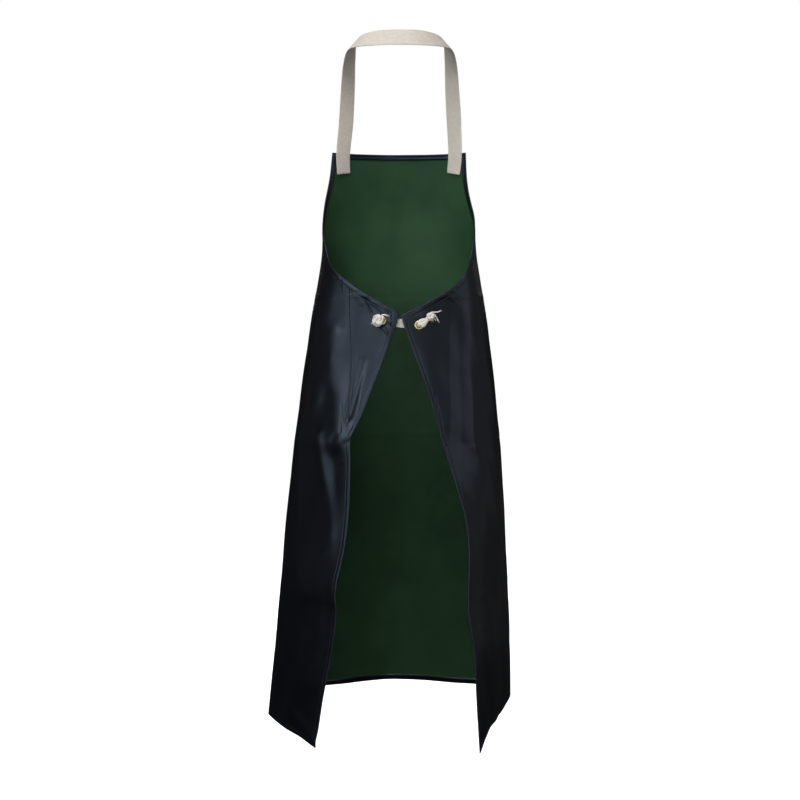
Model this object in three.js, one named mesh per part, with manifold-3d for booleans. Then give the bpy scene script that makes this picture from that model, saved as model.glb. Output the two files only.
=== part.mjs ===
// A vinyl bib apron in the form it hangs in when worn, in millimetres, with +Z up.
// The bib faces -Y and the two back wings meet at +Y; left is +X. The origin is the middle of
// the neck strap's inner face at the nape, where the whole apron hangs.

import * as THREE from 'three';
import { mergeVertices } from 'three/addons/utils/BufferGeometryUtils.js';
import Module from 'manifold-3d';

const wasm = await Module();
wasm.setup();

// Levels, measured down from the nape
const BIB_TOP = 190;
const WING_CORNER = 489;
const RIGHT_CORNER = 495;
const FRONT_HEM = 1219;
const WING_GAP = 1.6;
const HEM_DROP_ONSET = 4;

// Vinyl sheet
const WALL = 1.2;
const HEM_WALL = 2.4;
const HEM_WIDTH = 10;
const HEM_STEP = 1.2;
const HEM_STEEPEST = 2.6;
const HEM_LINES = 2;
const SIDE_COLUMNS = 18;
const PANEL_ROWS = [
  { downTo: 340, rows: 5 },
  { downTo: WING_CORNER, rows: 12 },
  { downTo: RIGHT_CORNER, rows: 1 },
  { downTo: 717, rows: 8 },
  { downTo: 983, rows: 9 },
  { downTo: FRONT_HEM - HEM_WIDTH - HEM_STEP, rows: 8 },
];
const OUTLINE_STEPS = 48;
const OUTLINE_PROBE = 2;
const FRONT_BOW = 2.2;

// Plan sections of the worn sheet, one row to a level. Each side runs from the front round the
// widest point (half, side) to the back edge (edgeX, edgeY); bow is 2 for an ellipse there and
// nearer 1 for a flatter wing.
const SECTIONS = table([
  'level', 'front', 'halfLeft', 'sideLeft', 'edgeXLeft', 'edgeYLeft', 'bowLeft',
  'halfRight', 'sideRight', 'edgeXRight', 'edgeYRight', 'bowRight',
], [
  [180, -168, 150, -78, 1, 20, 2.0, 148, -78, 1, 20, 2.0],
  [300, -198, 144, -76, 1, 22, 2.0, 139, -76, 1, 22, 2.0],
  [380, -201, 143.5, -76, 1, 24, 2.0, 141, -76, 1, 24, 2.0],
  [433, -199, 152, -77, 1, 25, 2.0, 149.5, -77, 1, 25, 2.0],
  [489, -196, 164, -80, 1, 26, 2.0, 160, -80, 1, 26, 2.0],
  [558, -197, 174.5, -79, 23, 35, 1.9, 168.5, -82, 22.5, 34, 1.9],
  [625, -200, 184, -76, 49.6, 44, 1.8, 177, -86, 48, 41, 1.8],
  [690, -203, 192.5, -73, 76, 53, 1.7, 184, -90, 69, 48, 1.75],
  [717, -204, 196, -72, 89, 57, 1.66, 187.5, -92, 76, 51, 1.71],
  [723, -204, 197, -72, 89, 58, 1.65, 188, -92, 77.5, 52, 1.7],
  [745, -205, 199, -71, 88, 61, 1.6, 190.5, -93, 84, 55, 1.7],
  [840, -208, 208, -67, 90, 75, 1.5, 198.5, -99, 113.5, 70, 1.5],
  [900, -210, 214.5, -65, 97, 84, 1.45, 200.5, -104, 123, 80, 1.4],
  [991, -212, 223.5, -61, 114, 98, 1.4, 204.5, -111, 122.6, 94, 1.34],
  [1010, -213, 225.5, -60, 112.5, 100, 1.4, 205, -112, 122.8, 97, 1.33],
  [1080, -214, 231.5, -54, 120.7, 107, 1.38, 208, -115, 132.5, 106, 1.3],
  [1160, -215, 240, -47, 136, 114, 1.35, 210, -118, 135.5, 115, 1.26],
  [1260, -216, 249, -38, 150.5, 122, 1.3, 211, -120, 140.3, 127, 1.22],
]);

// How far the sheet reaches round from the front on each side, as a share of half the plan
// section's girth
const ARMHOLE = table(['level', 'left', 'right'], [
  [180, 0.345, 0.345], [250, 0.385, 0.385], [300, 0.455, 0.46], [340, 0.54, 0.55],
  [366, 0.592, 0.601], [388, 0.626, 0.634], [400, 0.652, 0.658], [413, 0.69, 0.683],
  [431, 0.76, 0.727], [445, 0.812, 0.774], [460, 0.874, 0.836], [476, 0.945, 0.91],
  [WING_CORNER, 1, 0.974], [RIGHT_CORNER, 1, 1],
]);

// How far the hem hangs below its level at the front, from the right back corner to the left one
const HEM_LINE = table(['share', 'drop'], [
  [-1, 42], [-0.95, 28], [-0.9, 19.5], [-0.85, 15.5], [-0.75, 14.5], [-0.65, 14], [-0.55, 9],
  [-0.4, 3], [0, 0], [0.35, 4], [0.55, 12.5], [0.65, 17.5], [0.7, 21], [0.8, 22], [0.9, 25],
  [1, 34],
]);

// Soft upright folds: each grows from its start level to its full height at the hem
const FOLDS = table(['arc', 'start', 'halfWidth', 'height'], [
  [0, 640, 58, 7],
  [105, 600, 46, -8],
  [-112, 610, 48, -8],
  [205, 660, 50, 7],
  [-200, 640, 46, 6],
  [372, 760, 40, -4],
  [-352, 780, 46, -3],
]);

// Neck strap: one woven tape; rows run from the nape to the left bib corner, and facing is the
// direction that the tape's outer face looks in
const TAPE_WIDTH = 30;
const TAPE_THICK = 2;
const STRAP_STEPS = 56;
const STRAP_SIDES = 8;
const STRAP = table(['x', 'y', 'z', 'facingX', 'facingY', 'facingZ'], [
  [0, 0, 0, 0, 0.95, 0.31],
  [44, -10, 0, 0.36, 0.84, 0.4],
  [74, -36, -1, 0.62, 0.5, 0.6],
  [87, -66, -5, 0.72, 0.1, 0.68],
  [93, -95, -28, 0.66, -0.38, 0.64],
  [97, -119, -76, 0.52, -0.74, 0.42],
  [101, -134, -135, 0.48, -0.84, 0.24],
]);
const STRAP_LAP_ARC = 113;
const STRAP_LAP_LEVELS = [196, 228];
const STRAP_LAP_CLEARANCE = 1.6;

// Eyelets: each pierces its wing at a level and at a distance in from the wing's back edge
const EYELETS = {
  left: { side: 1, level: 504, inset: 29 },
  right: { side: -1, level: 512, inset: 28 },
};
const EYELET_BORE = 8;
const EYELET_BARREL = 9.6;
const EYELET_FLANGE = 17;
const EYELET_METAL = 0.9;
const EYELET_ROUND = 0.3;
const EYELET_CLEARANCE = 0.5;
const EYELET_HOLE = 10.6;
const EYELET_PUNCH = 14.4;
const EYELET_SEGMENTS = 20;

// Waist tie: the same flat tape from bore to bore; it is bunched in each bore and lies flat between.
// Each row is measured from an eyelet: in through the sheet, and along towards the other eyelet,
// with the degrees that the tape's face has turned outwards.
const TIE = table(['inward', 'along', 'turn', 'width', 'thick'], [
  [-1.5, 0, 0, 6, 6],
  [2.6, 0, 30, 6, 6],
  [5.4, 3.2, 60, 7, 5],
  [6.6, 9, 90, 11, 3],
  [6.8, 17, 90, 14, 1.8],
]);
const TIE_STEPS = 26;
const TIE_SIDES = 12;

// Knots: rows are rings across each knot. The left one stands out from its eyelet; the right one
// is a spread loop drawn into a small ball, lying on the wing.
const KNOT_GAP = 0.4;
const KNOT_SIDES = 12;
const LEFT_KNOT_SHIFT = 4;
const LEFT_KNOT = table(['height', 'width', 'thick'], [
  [0, 11, 11], [1.8, 16, 15.5], [4.6, 19.5, 18.5], [8, 20.4, 19.6],
  [11.2, 18.4, 17.6], [13.6, 13, 12.4], [14.8, 5, 5],
]);
const RIGHT_KNOT_RISE = 34;
const RIGHT_KNOT = table(['along', 'width', 'thick'], [
  [-5, 8, 4], [-3, 14, 6.5], [2, 17, 8.5], [7, 15, 8.5], [11.5, 11, 8], [15.5, 8.4, 7.8],
  [18, 11.5, 10.5], [22.5, 14.6, 13], [26.5, 13.2, 11.6], [29, 6, 6],
]);

// Squareness of a ring: 2 is an ellipse and a larger number is nearer a flat tape's rectangle
const ROUND = 2;
const SOFT = 3;
const FLAT = 7;

// Finishes
const NAVY_VINYL = { color: 0x161b25, roughness: 0.4, metalness: 0 };
const CREAM_TAPE = { color: 0xe2d9c8, roughness: 0.9, metalness: 0 };
const BRASS = { color: 0xbfa65a, roughness: 0.35, metalness: 1 };

/** Gives each row of a table its columns' names. */
function table(columns, rows) {
  return rows.map((row) => Object.fromEntries(columns.map((name, i) => [name, row[i]])));
}

/** Reads a table along its first column by a smooth curve through the rows. */
function reader(rows) {
  const [first, ...names] = Object.keys(rows[0]);
  const curve = new THREE.CubicInterpolant(
    rows.map((row) => row[first]),
    rows.flatMap((row) => names.map((name) => row[name])),
    names.length,
  );
  return (position) => {
    const values = curve.evaluate(position);
    return Object.fromEntries(names.map((name, i) => [name, values[i]]));
  };
}

const sectionAt = reader(SECTIONS);
const armholeAt = reader(ARMHOLE);
const hemAt = reader(HEM_LINE);
const outlines = new Map();

/** One side of a plan section, from the middle of the front to the back edge. */
function sideOutline(front, half, side, edgeFromMiddle, edgeY, bow) {
  const points = [];
  const edgeX = Math.max(edgeFromMiddle, WING_GAP / 2);
  const steps = Array.from({ length: OUTLINE_STEPS + 1 }, (_, i) => i / OUTLINE_STEPS);
  for (const t of steps) {
    const angle = (t * Math.PI) / 2;
    points.push(new THREE.Vector2(
      half * Math.sin(angle) ** (2 / FRONT_BOW),
      side - (side - front) * Math.cos(angle) ** (2 / FRONT_BOW),
    ));
  }
  const reach = (edgeY - side) / (1 - (edgeX / half) ** bow) ** (1 / bow);
  const last = Math.acos((edgeX / half) ** (bow / 2));
  for (const t of steps.slice(1)) {
    points.push(new THREE.Vector2(
      half * Math.cos(last * t) ** (2 / bow),
      side + reach * Math.sin(last * t) ** (2 / bow),
    ));
  }
  return points;
}

/** The whole plan section at a level, from right edge to left edge, with the length run so far. */
function outlineAt(level) {
  const key = level.toFixed(4);
  if (!outlines.has(key)) {
    const s = sectionAt(level);
    const onLeft = sideOutline(
      s.front, s.halfLeft, s.sideLeft, s.edgeXLeft, s.edgeYLeft, s.bowLeft,
    );
    const onRight = sideOutline(
      s.front, s.halfRight, s.sideRight, s.edgeXRight, s.edgeYRight, s.bowRight,
    );
    const mirrored = onRight.slice(1).map((p) => new THREE.Vector2(-p.x, p.y));
    const points = [...mirrored.reverse(), ...onLeft];
    const run = [0];
    points.slice(1).forEach((p, i) => run.push(run[i] + p.distanceTo(points[i])));
    outlines.set(key, { points, run, half: run.at(-1) / 2 });
  }
  return outlines.get(key);
}

/** How far the soft folds push the sheet outwards, at an arc from the middle of the front. */
function foldHeight(arc, level) {
  let height = 0;
  for (const fold of FOLDS) {
    const grown = THREE.MathUtils.smoothstep(level, fold.start, FRONT_HEM);
    height += fold.height * grown * Math.exp(-(((arc - fold.arc) / fold.halfWidth) ** 2));
  }
  return height;
}

/** A point of the sheet's outer face; arc runs round from the middle of the front, left positive. */
function panelPoint(arc, level) {
  const { points, run, half } = outlineAt(level);
  const wanted = THREE.MathUtils.clamp(arc + half, 0, 2 * half);
  let i = run.findIndex((length) => length >= wanted);
  i = Math.max(i, 1);
  const share = (wanted - run[i - 1]) / (run[i] - run[i - 1]);
  const point = points[i - 1].clone().lerp(points[i], share);
  const outward = points[i].clone().sub(points[i - 1]).normalize();
  point.x += outward.y * foldHeight(arc, level);
  point.y -= outward.x * foldHeight(arc, level);
  return new THREE.Vector3(point.x, point.y, -level);
}

/** The sheet's reach round from the front, to the armhole above and to the back edge below, on the
 * left for a positive side and on the right for any other. */
function reachAt(level, side) {
  const { left, right } = armholeAt(level);
  return Math.min(side > 0 ? left : right, 1) * outlineAt(level).half;
}

/** A place on the sheet: its outer point and its outward direction. */
function panelPlace(arc, level) {
  const step = OUTLINE_PROBE;
  const along = panelPoint(arc + step, level).sub(panelPoint(arc - step, level));
  const down = panelPoint(arc, level + step).sub(panelPoint(arc, level - step));
  return { point: panelPoint(arc, level), out: down.cross(along).normalize() };
}

/** Arcs of one side of the sheet, from next to the middle of the front to the hem's two lines. */
function sideArcs(level, side) {
  const reach = reachAt(level, side);
  const above = Math.min(level, WING_CORNER);
  const slope = reachAt(above + 1, side) - reachAt(above - 1, side);
  const slant = THREE.MathUtils.clamp(Math.hypot(slope / 2, 1), 1, HEM_STEEPEST);
  const fade = THREE.MathUtils.smoothstep(level, WING_CORNER, WING_CORNER + HEM_WIDTH * 2);
  const hem = HEM_WIDTH * THREE.MathUtils.lerp(slant, 1, fade);
  const inside = reach - hem - HEM_STEP;
  const middle = Array.from(
    { length: SIDE_COLUMNS },
    (_, i) => (inside * (i + 1)) / SIDE_COLUMNS,
  );
  return [...middle, reach - hem, reach].map((arc) => side * arc);
}

/** Arcs across the sheet, from the right edge to the left one. */
function columnArcs(level) {
  return [...sideArcs(level, -1).reverse(), 0, ...sideArcs(level, 1)];
}

/** Levels of the sheet's rows down the middle of the front. */
function rowLevels() {
  const levels = [BIB_TOP, BIB_TOP + HEM_WIDTH];
  let from = BIB_TOP + HEM_WIDTH + HEM_STEP;
  levels.push(from);
  for (const { downTo: to, rows } of PANEL_ROWS) {
    for (let i = 1; i <= rows; i += 1) levels.push(from + ((to - from) * i) / rows);
    from = to;
  }
  levels.push(FRONT_HEM - HEM_WIDTH, FRONT_HEM);
  return levels;
}

/** Drops a row's level towards the back, where the hem hangs lowest. */
function droppedLevel(level, share) {
  const onset = Math.max(0, (level - WING_CORNER) / (FRONT_HEM - WING_CORNER)) ** HEM_DROP_ONSET;
  return level + hemAt(share).drop * onset;
}

/** Closes an outer and an inner grid of points into one solid. Each half's squares are split the way
 * that the armholes slant. */
function closedSheet(outer, inner) {
  const rows = outer.length;
  const columns = outer[0].length;
  const positions = [...outer.flat(), ...inner.flat()].flatMap((p) => p.toArray());
  const out = (r, c) => r * columns + c;
  const under = (r, c) => rows * columns + out(r, c);
  const index = [];
  const quad = (a, b, c, d) => index.push(a, b, c, a, c, d);
  const middle = (columns - 1) / 2;
  for (let r = 0; r < rows - 1; r += 1) {
    for (let c = 0; c < columns - 1; c += 1) {
      if (c < middle) {
        quad(out(r, c), out(r + 1, c), out(r + 1, c + 1), out(r, c + 1));
        quad(under(r + 1, c + 1), under(r + 1, c), under(r, c), under(r, c + 1));
      } else {
        quad(out(r + 1, c), out(r + 1, c + 1), out(r, c + 1), out(r, c));
        quad(under(r, c + 1), under(r + 1, c + 1), under(r + 1, c), under(r, c));
      }
    }
  }
  const rim = (a, b) => quad(out(...a), out(...b), under(...b), under(...a));
  for (let c = 0; c < columns - 1; c += 1) {
    rim([0, c], [0, c + 1]);
    rim([rows - 1, c + 1], [rows - 1, c]);
  }
  for (let r = 0; r < rows - 1; r += 1) {
    rim([r + 1, 0], [r, 0]);
    rim([r, columns - 1], [r + 1, columns - 1]);
  }
  return geometryOf(positions, index);
}

/** An indexed geometry from flat lists. */
function geometryOf(positions, index) {
  const geometry = new THREE.BufferGeometry();
  geometry.setAttribute('position', new THREE.Float32BufferAttribute(positions, 3));
  geometry.setIndex(index);
  return geometry;
}

/** A geometry as a solid that can be cut. */
function solidOf(geometry) {
  const bare = geometry.clone();
  bare.deleteAttribute('normal');
  bare.deleteAttribute('uv');
  const merged = mergeVertices(bare);
  return new wasm.Manifold(new wasm.Mesh({
    numProp: 3,
    vertProperties: new Float32Array(merged.attributes.position.array),
    triVerts: new Uint32Array(merged.index.array),
  }));
}

/** Cuts each tool geometry out of a body. */
function cut(body, tools) {
  const solid = tools.reduce((left, tool) => left.subtract(solidOf(tool)), solidOf(body));
  const { vertProperties, triVerts } = solid.getMesh();
  return geometryOf(Array.from(vertProperties), Array.from(triVerts));
}

/** Carries a ring along stations; each has a centre, a facing, a width and a thickness, and may
 * give the direction that its ring looks in, which is otherwise the way the stations run. */
function loft(stations, sides, squareness) {
  const positions = [];
  const index = [];
  const corner = (value) => Math.sign(value) * Math.abs(value) ** (2 / squareness);
  stations.forEach(({ centre, facing, width, thick, ahead }, i) => {
    const next = stations[Math.min(i + 1, stations.length - 1)].centre;
    const last = stations[Math.max(i - 1, 0)].centre;
    const way = ahead ?? next.clone().sub(last).normalize();
    const across = way.clone().cross(facing).normalize();
    const face = across.clone().cross(way);
    for (let s = 0; s < sides; s += 1) {
      const angle = (2 * Math.PI * (s + 0.5)) / sides;
      const point = centre.clone()
        .addScaledVector(across, (width / 2) * corner(Math.cos(angle)))
        .addScaledVector(face, (thick / 2) * corner(Math.sin(angle)));
      positions.push(...point.toArray());
    }
  });
  const at = (ring, s) => ring * sides + (s % sides);
  for (let ring = 0; ring < stations.length - 1; ring += 1) {
    for (let s = 0; s < sides; s += 1) {
      index.push(at(ring, s), at(ring + 1, s + 1), at(ring, s + 1));
      index.push(at(ring, s), at(ring + 1, s), at(ring + 1, s + 1));
    }
  }
  const end = stations.length - 1;
  for (let s = 1; s < sides - 1; s += 1) {
    index.push(at(0, 0), at(0, s), at(0, s + 1));
    index.push(at(end, 0), at(end, s + 1), at(end, s));
  }
  return geometryOf(positions, index);
}

/** Spreads a number of stations evenly along a smooth curve through a few given ones. */
function smoothStations(given, steps) {
  let along = 0;
  const rows = given.map(({ centre, facing, width, thick }, i) => {
    if (i) along += centre.distanceTo(given[i - 1].centre);
    return [along, ...centre.toArray(), ...facing.toArray(), width, thick];
  });
  const columns = ['along', 'x', 'y', 'z', 'facingX', 'facingY', 'facingZ', 'width', 'thick'];
  const at = reader(table(columns, rows));
  return Array.from({ length: steps + 1 }, (_, i) => {
    const s = at((along * i) / steps);
    return {
      centre: new THREE.Vector3(s.x, s.y, s.z),
      facing: new THREE.Vector3(s.facingX, s.facingY, s.facingZ).normalize(),
      width: s.width,
      thick: s.thick,
    };
  });
}

/** One eyelet's place on its wing. */
function eyeletPlace({ side, level, inset }) {
  return panelPlace(side * (reachAt(level, side) - inset), level);
}

/** The vinyl sheet with its folded hems and its two holes. */
function panelGeometry(places) {
  const outer = rowLevels().map((level) => columnArcs(level).map((arc) => {
    const share = arc / reachAt(level, arc);
    const lower = droppedLevel(level, share);
    return panelPoint(share * reachAt(lower, arc), lower);
  }));
  const rows = outer.length;
  const columns = outer[0].length;
  const inner = outer.map((row, r) => row.map((point, c) => {
    const along = row[Math.min(c + 1, columns - 1)].clone().sub(row[Math.max(c - 1, 0)]);
    const down = outer[Math.min(r + 1, rows - 1)][c].clone().sub(outer[Math.max(r - 1, 0)][c]);
    const out = down.cross(along).normalize();
    const fromBorder = Math.min(r, rows - 1 - r, c, columns - 1 - c);
    const hemmed = fromBorder < HEM_LINES;
    return point.clone().addScaledVector(out, hemmed ? -HEM_WALL : -WALL);
  }));
  const radius = EYELET_HOLE / 2;
  const punches = places.map(({ point, out }) => (
    new THREE.CylinderGeometry(radius, radius, EYELET_PUNCH, EYELET_SEGMENTS)
      .applyQuaternion(new THREE.Quaternion().setFromUnitVectors(THREE.Object3D.DEFAULT_UP, out))
      .translate(...point.toArray())
  ));
  return cut(closedSheet(outer, inner), punches);
}

/** The neck strap, with its ends lapped down the inside of the bib. */
function strapGeometry() {
  const half = STRAP.map(({ x, y, z, facingX, facingY, facingZ }) => {
    const facing = new THREE.Vector3(facingX, facingY, facingZ).normalize();
    const centre = new THREE.Vector3(x, y, z).addScaledVector(facing, TAPE_THICK / 2);
    return { centre, facing, width: TAPE_WIDTH, thick: TAPE_THICK };
  });
  const inset = HEM_WALL + STRAP_LAP_CLEARANCE + TAPE_THICK / 2;
  const lap = (side) => STRAP_LAP_LEVELS.map((level) => {
    const { point, out } = panelPlace(side * STRAP_LAP_ARC, level);
    const centre = point.addScaledVector(out, -inset);
    return { centre, facing: out, width: TAPE_WIDTH, thick: TAPE_THICK };
  });
  const flip = new THREE.Vector3(-1, 1, 1);
  const mirrored = half.slice(1).map((station) => ({
    ...station,
    centre: station.centre.clone().multiply(flip),
    facing: station.facing.clone().multiply(flip),
  }));
  const given = [...lap(-1).reverse(), ...mirrored.reverse(), ...half, ...lap(1)];
  return loft(smoothStations(given, STRAP_STEPS), STRAP_SIDES, FLAT);
}

/** The waist tie from the left bore to the right bore, across the inside of the wings. */
function tieGeometry(left, right) {
  const across = right.point.clone().sub(left.point).normalize();
  const half = (place, toOther) => TIE.map(({ inward, along, turn, width, thick }) => {
    const angle = THREE.MathUtils.degToRad(turn);
    const facing = place.out.clone().multiplyScalar(Math.sin(angle))
      .addScaledVector(across, Math.cos(angle) * toOther);
    const centre = place.point.clone()
      .addScaledVector(place.out, -inward)
      .addScaledVector(across, along * toOther);
    return { centre, facing, width, thick };
  });
  const given = [...half(left, 1), ...half(right, -1).reverse()];
  return loft(smoothStations(given, TIE_STEPS), TIE_SIDES, SOFT);
}

/** A brass eyelet about its own axis: a barrel with a flange on each face of the sheet. */
function eyeletGeometry() {
  const bore = EYELET_BORE / 2;
  const barrel = EYELET_BARREL / 2;
  const flange = EYELET_FLANGE / 2;
  const top = EYELET_CLEARANCE;
  const under = -WALL - EYELET_CLEARANCE;
  const rim = EYELET_ROUND;
  const profile = [
    [bore, under - EYELET_METAL], [flange - rim, under - EYELET_METAL], [flange, under - rim],
    [flange, under], [barrel, under], [barrel, top], [flange, top], [flange, top + rim],
    [flange - rim, top + EYELET_METAL], [bore + rim, top + EYELET_METAL], [bore, top + rim],
    [bore, under - EYELET_METAL],
  ].map(([radius, height]) => new THREE.Vector2(radius, height));
  return new THREE.LatheGeometry(profile, EYELET_SEGMENTS);
}

/** The left knot: a round ball of tape on its eyelet. */
function leftKnotGeometry({ point, out }) {
  const upward = new THREE.Vector3(0, 0, 1);
  const aside = out.clone().cross(upward).normalize();
  const base = EYELET_CLEARANCE + EYELET_METAL + KNOT_GAP;
  const tall = LEFT_KNOT.at(-1).height;
  const stations = LEFT_KNOT.map(({ height, width, thick }) => ({
    centre: point.clone()
      .addScaledVector(out, base + height)
      .addScaledVector(aside, LEFT_KNOT_SHIFT * Math.sin((Math.PI / 2) * (height / tall))),
    facing: upward,
    width,
    thick,
    ahead: out,
  }));
  return loft(stations, KNOT_SIDES, ROUND);
}

/** The right knot: a spread loop that leaves the eyelet, a waist and a ball. */
function rightKnotGeometry({ point, out }) {
  const aside = new THREE.Vector3(0, 0, 1).cross(out).normalize();
  const slope = THREE.MathUtils.degToRad(RIGHT_KNOT_RISE);
  const ahead = aside.multiplyScalar(Math.cos(slope))
    .add(new THREE.Vector3(0, 0, Math.sin(slope))).normalize();
  const base = EYELET_CLEARANCE + EYELET_METAL + KNOT_GAP;
  const stations = RIGHT_KNOT.map(({ along, width, thick }) => ({
    centre: point.clone()
      .addScaledVector(out, base + thick / 2)
      .addScaledVector(ahead, along),
    facing: out,
    width,
    thick,
    ahead,
  }));
  return loft(stations, KNOT_SIDES, ROUND);
}

const apron = new THREE.Group();

/** Adds one named piece with a finish of its own. */
function add(name, geometry, finish) {
  const mesh = new THREE.Mesh(geometry, new THREE.MeshStandardMaterial(finish));
  mesh.name = name;
  apron.add(mesh);
  return mesh;
}

const left = eyeletPlace(EYELETS.left);
const right = eyeletPlace(EYELETS.right);

add('apron_panel', panelGeometry([left, right]), NAVY_VINYL);
add('neck_strap', strapGeometry(), CREAM_TAPE);
add('waist_tie', tieGeometry(left, right), CREAM_TAPE);
for (const [name, place] of [['eyelet_left', left], ['eyelet_right', right]]) {
  const eyelet = add(name, eyeletGeometry(), BRASS);
  eyelet.position.copy(place.point);
  eyelet.quaternion.setFromUnitVectors(THREE.Object3D.DEFAULT_UP, place.out);
}
add('tie_knot_left', leftKnotGeometry(left), CREAM_TAPE);
add('tie_knot_right', rightKnotGeometry(right), CREAM_TAPE);

export default apron;
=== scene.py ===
"""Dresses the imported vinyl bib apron: its worn sheet, tapes, knots and eyelets, in studio light.

Sizes are in metres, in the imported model's frame: +Z is up, the bib faces -Y, the two back wings
meet at +Y and left is +X. A level is a distance down from the nape, where the apron hangs. An arc
is a distance round the sheet from the middle of the front, with the left side positive.
"""

import logging
import math
from dataclasses import dataclass, field
from enum import Enum

import bpy
import numpy as np
from mathutils import Euler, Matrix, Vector


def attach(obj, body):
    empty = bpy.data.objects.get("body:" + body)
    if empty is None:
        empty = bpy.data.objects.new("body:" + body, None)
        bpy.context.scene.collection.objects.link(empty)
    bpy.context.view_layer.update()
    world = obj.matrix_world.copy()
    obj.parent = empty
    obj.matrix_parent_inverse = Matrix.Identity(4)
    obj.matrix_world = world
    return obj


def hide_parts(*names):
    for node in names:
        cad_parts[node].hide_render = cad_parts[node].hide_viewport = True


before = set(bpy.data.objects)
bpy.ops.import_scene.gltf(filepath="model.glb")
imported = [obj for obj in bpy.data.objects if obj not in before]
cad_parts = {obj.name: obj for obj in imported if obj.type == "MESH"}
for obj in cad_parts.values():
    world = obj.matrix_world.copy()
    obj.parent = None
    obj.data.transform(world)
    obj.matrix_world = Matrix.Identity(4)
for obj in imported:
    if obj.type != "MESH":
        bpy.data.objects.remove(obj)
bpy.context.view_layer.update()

Array = np.ndarray
Colour = tuple[float, float, float] | bpy.types.NodeSocket
log = logging.getLogger("apron")

BODY = "root"


class Slot(Enum):
    """The record's material slots."""

    VINYL = "vinyl"
    TAPE = "cotton_tape"
    BRASS = "brass"


class Side(Enum):
    """The two sides of the apron, by the sign of X."""

    LEFT = 1
    RIGHT = -1


class Section(Enum):
    """Squareness of a swept section: 2 is an ellipse, and more is nearer a flat tape."""

    ROUND = 2.0
    SOFT = 3.0
    FLAT = 7.0


@dataclass(frozen=True)
class Table:
    """A short table whose first column is the position that the others are read at."""

    columns: tuple[str, ...]
    rows: tuple[tuple[float, ...], ...]

    def read(self, at: Array) -> dict[str, Array]:
        """Reads every column by a smooth curve through the rows.

        Between two rows the curve is a cubic, whose slope at a row is the mean of the slopes on
        its two sides. Past the ends it keeps the end rows' values.

        Args:
            at: Positions along the first column, in any shape.

        Returns:
            The other columns' values there, by the columns' names.
        """
        known = np.array(self.rows, float)
        position, values = known[:, 0], known[:, 1:]
        steps = np.diff(position)
        rises = np.diff(values, axis=0) / steps[:, None]
        slopes = np.concatenate([rises[:1], (rises[:-1] + rises[1:]) / 2, rises[-1:]])
        inside = np.clip(at, position[0], position[-1])
        i = np.clip(np.searchsorted(position, inside, side="right") - 1, 0, len(steps) - 1)
        gap = steps[i][..., None]
        t = (inside - position[i])[..., None] / gap
        found = (
            (1 + 2 * t) * (1 - t) ** 2 * values[i]
            + t * (1 - t) ** 2 * gap * slopes[i]
            + t**2 * (3 - 2 * t) * values[i + 1]
            + t**2 * (t - 1) * gap * slopes[i + 1]
        )
        return {name: found[..., k] for k, name in enumerate(self.columns[1:])}

    def named(self) -> list[dict[str, float]]:
        """Gives each row its columns' names."""
        return [dict(zip(self.columns, row)) for row in self.rows]


# Plan sections of the worn sheet, one row to a level. Each side runs from the front round the
# widest point (half, side) to the back edge (edge_x, edge_y); bow is 2 for an ellipse there and
# nearer 1 for a flatter wing.
SECTIONS = Table(
    (
        "level", "front", "half_left", "side_left", "edge_x_left", "edge_y_left", "bow_left",
        "half_right", "side_right", "edge_x_right", "edge_y_right", "bow_right",
    ),
    (
        (0.180, -0.168, 0.150, -0.078, 0.001, 0.020, 2.0, 0.148, -0.078, 0.001, 0.020, 2.0),
        (0.300, -0.198, 0.144, -0.076, 0.001, 0.022, 2.0, 0.139, -0.076, 0.001, 0.022, 2.0),
        (0.380, -0.201, 0.1435, -0.076, 0.001, 0.024, 2.0, 0.141, -0.076, 0.001, 0.024, 2.0),
        (0.433, -0.199, 0.152, -0.077, 0.001, 0.025, 2.0, 0.1495, -0.077, 0.001, 0.025, 2.0),
        (0.489, -0.196, 0.164, -0.080, 0.001, 0.026, 2.0, 0.160, -0.080, 0.001, 0.026, 2.0),
        (0.558, -0.197, 0.1745, -0.079, 0.023, 0.035, 1.9, 0.1685, -0.082, 0.0225, 0.034, 1.9),
        (0.625, -0.200, 0.184, -0.076, 0.0496, 0.044, 1.8, 0.177, -0.086, 0.048, 0.041, 1.8),
        (0.690, -0.203, 0.1925, -0.073, 0.076, 0.053, 1.7, 0.184, -0.090, 0.069, 0.048, 1.75),
        (0.717, -0.204, 0.196, -0.072, 0.089, 0.057, 1.66, 0.1875, -0.092, 0.076, 0.051, 1.71),
        (0.723, -0.204, 0.197, -0.072, 0.089, 0.058, 1.65, 0.188, -0.092, 0.0775, 0.052, 1.7),
        (0.745, -0.205, 0.199, -0.071, 0.088, 0.061, 1.6, 0.1905, -0.093, 0.084, 0.055, 1.7),
        (0.840, -0.208, 0.208, -0.067, 0.090, 0.075, 1.5, 0.1985, -0.099, 0.1135, 0.070, 1.5),
        (0.900, -0.210, 0.2145, -0.065, 0.097, 0.084, 1.45, 0.2005, -0.104, 0.123, 0.080, 1.4),
        (0.991, -0.212, 0.2235, -0.061, 0.114, 0.098, 1.4, 0.2045, -0.111, 0.1226, 0.094, 1.34),
        (1.010, -0.213, 0.2255, -0.060, 0.1125, 0.100, 1.4, 0.205, -0.112, 0.1228, 0.097, 1.33),
        (1.080, -0.214, 0.2315, -0.054, 0.1207, 0.107, 1.38, 0.208, -0.115, 0.1325, 0.106, 1.3),
        (1.160, -0.215, 0.240, -0.047, 0.136, 0.114, 1.35, 0.210, -0.118, 0.1355, 0.115, 1.26),
        (1.260, -0.216, 0.249, -0.038, 0.1505, 0.122, 1.3, 0.211, -0.120, 0.1403, 0.127, 1.22),
    ),
)

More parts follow.
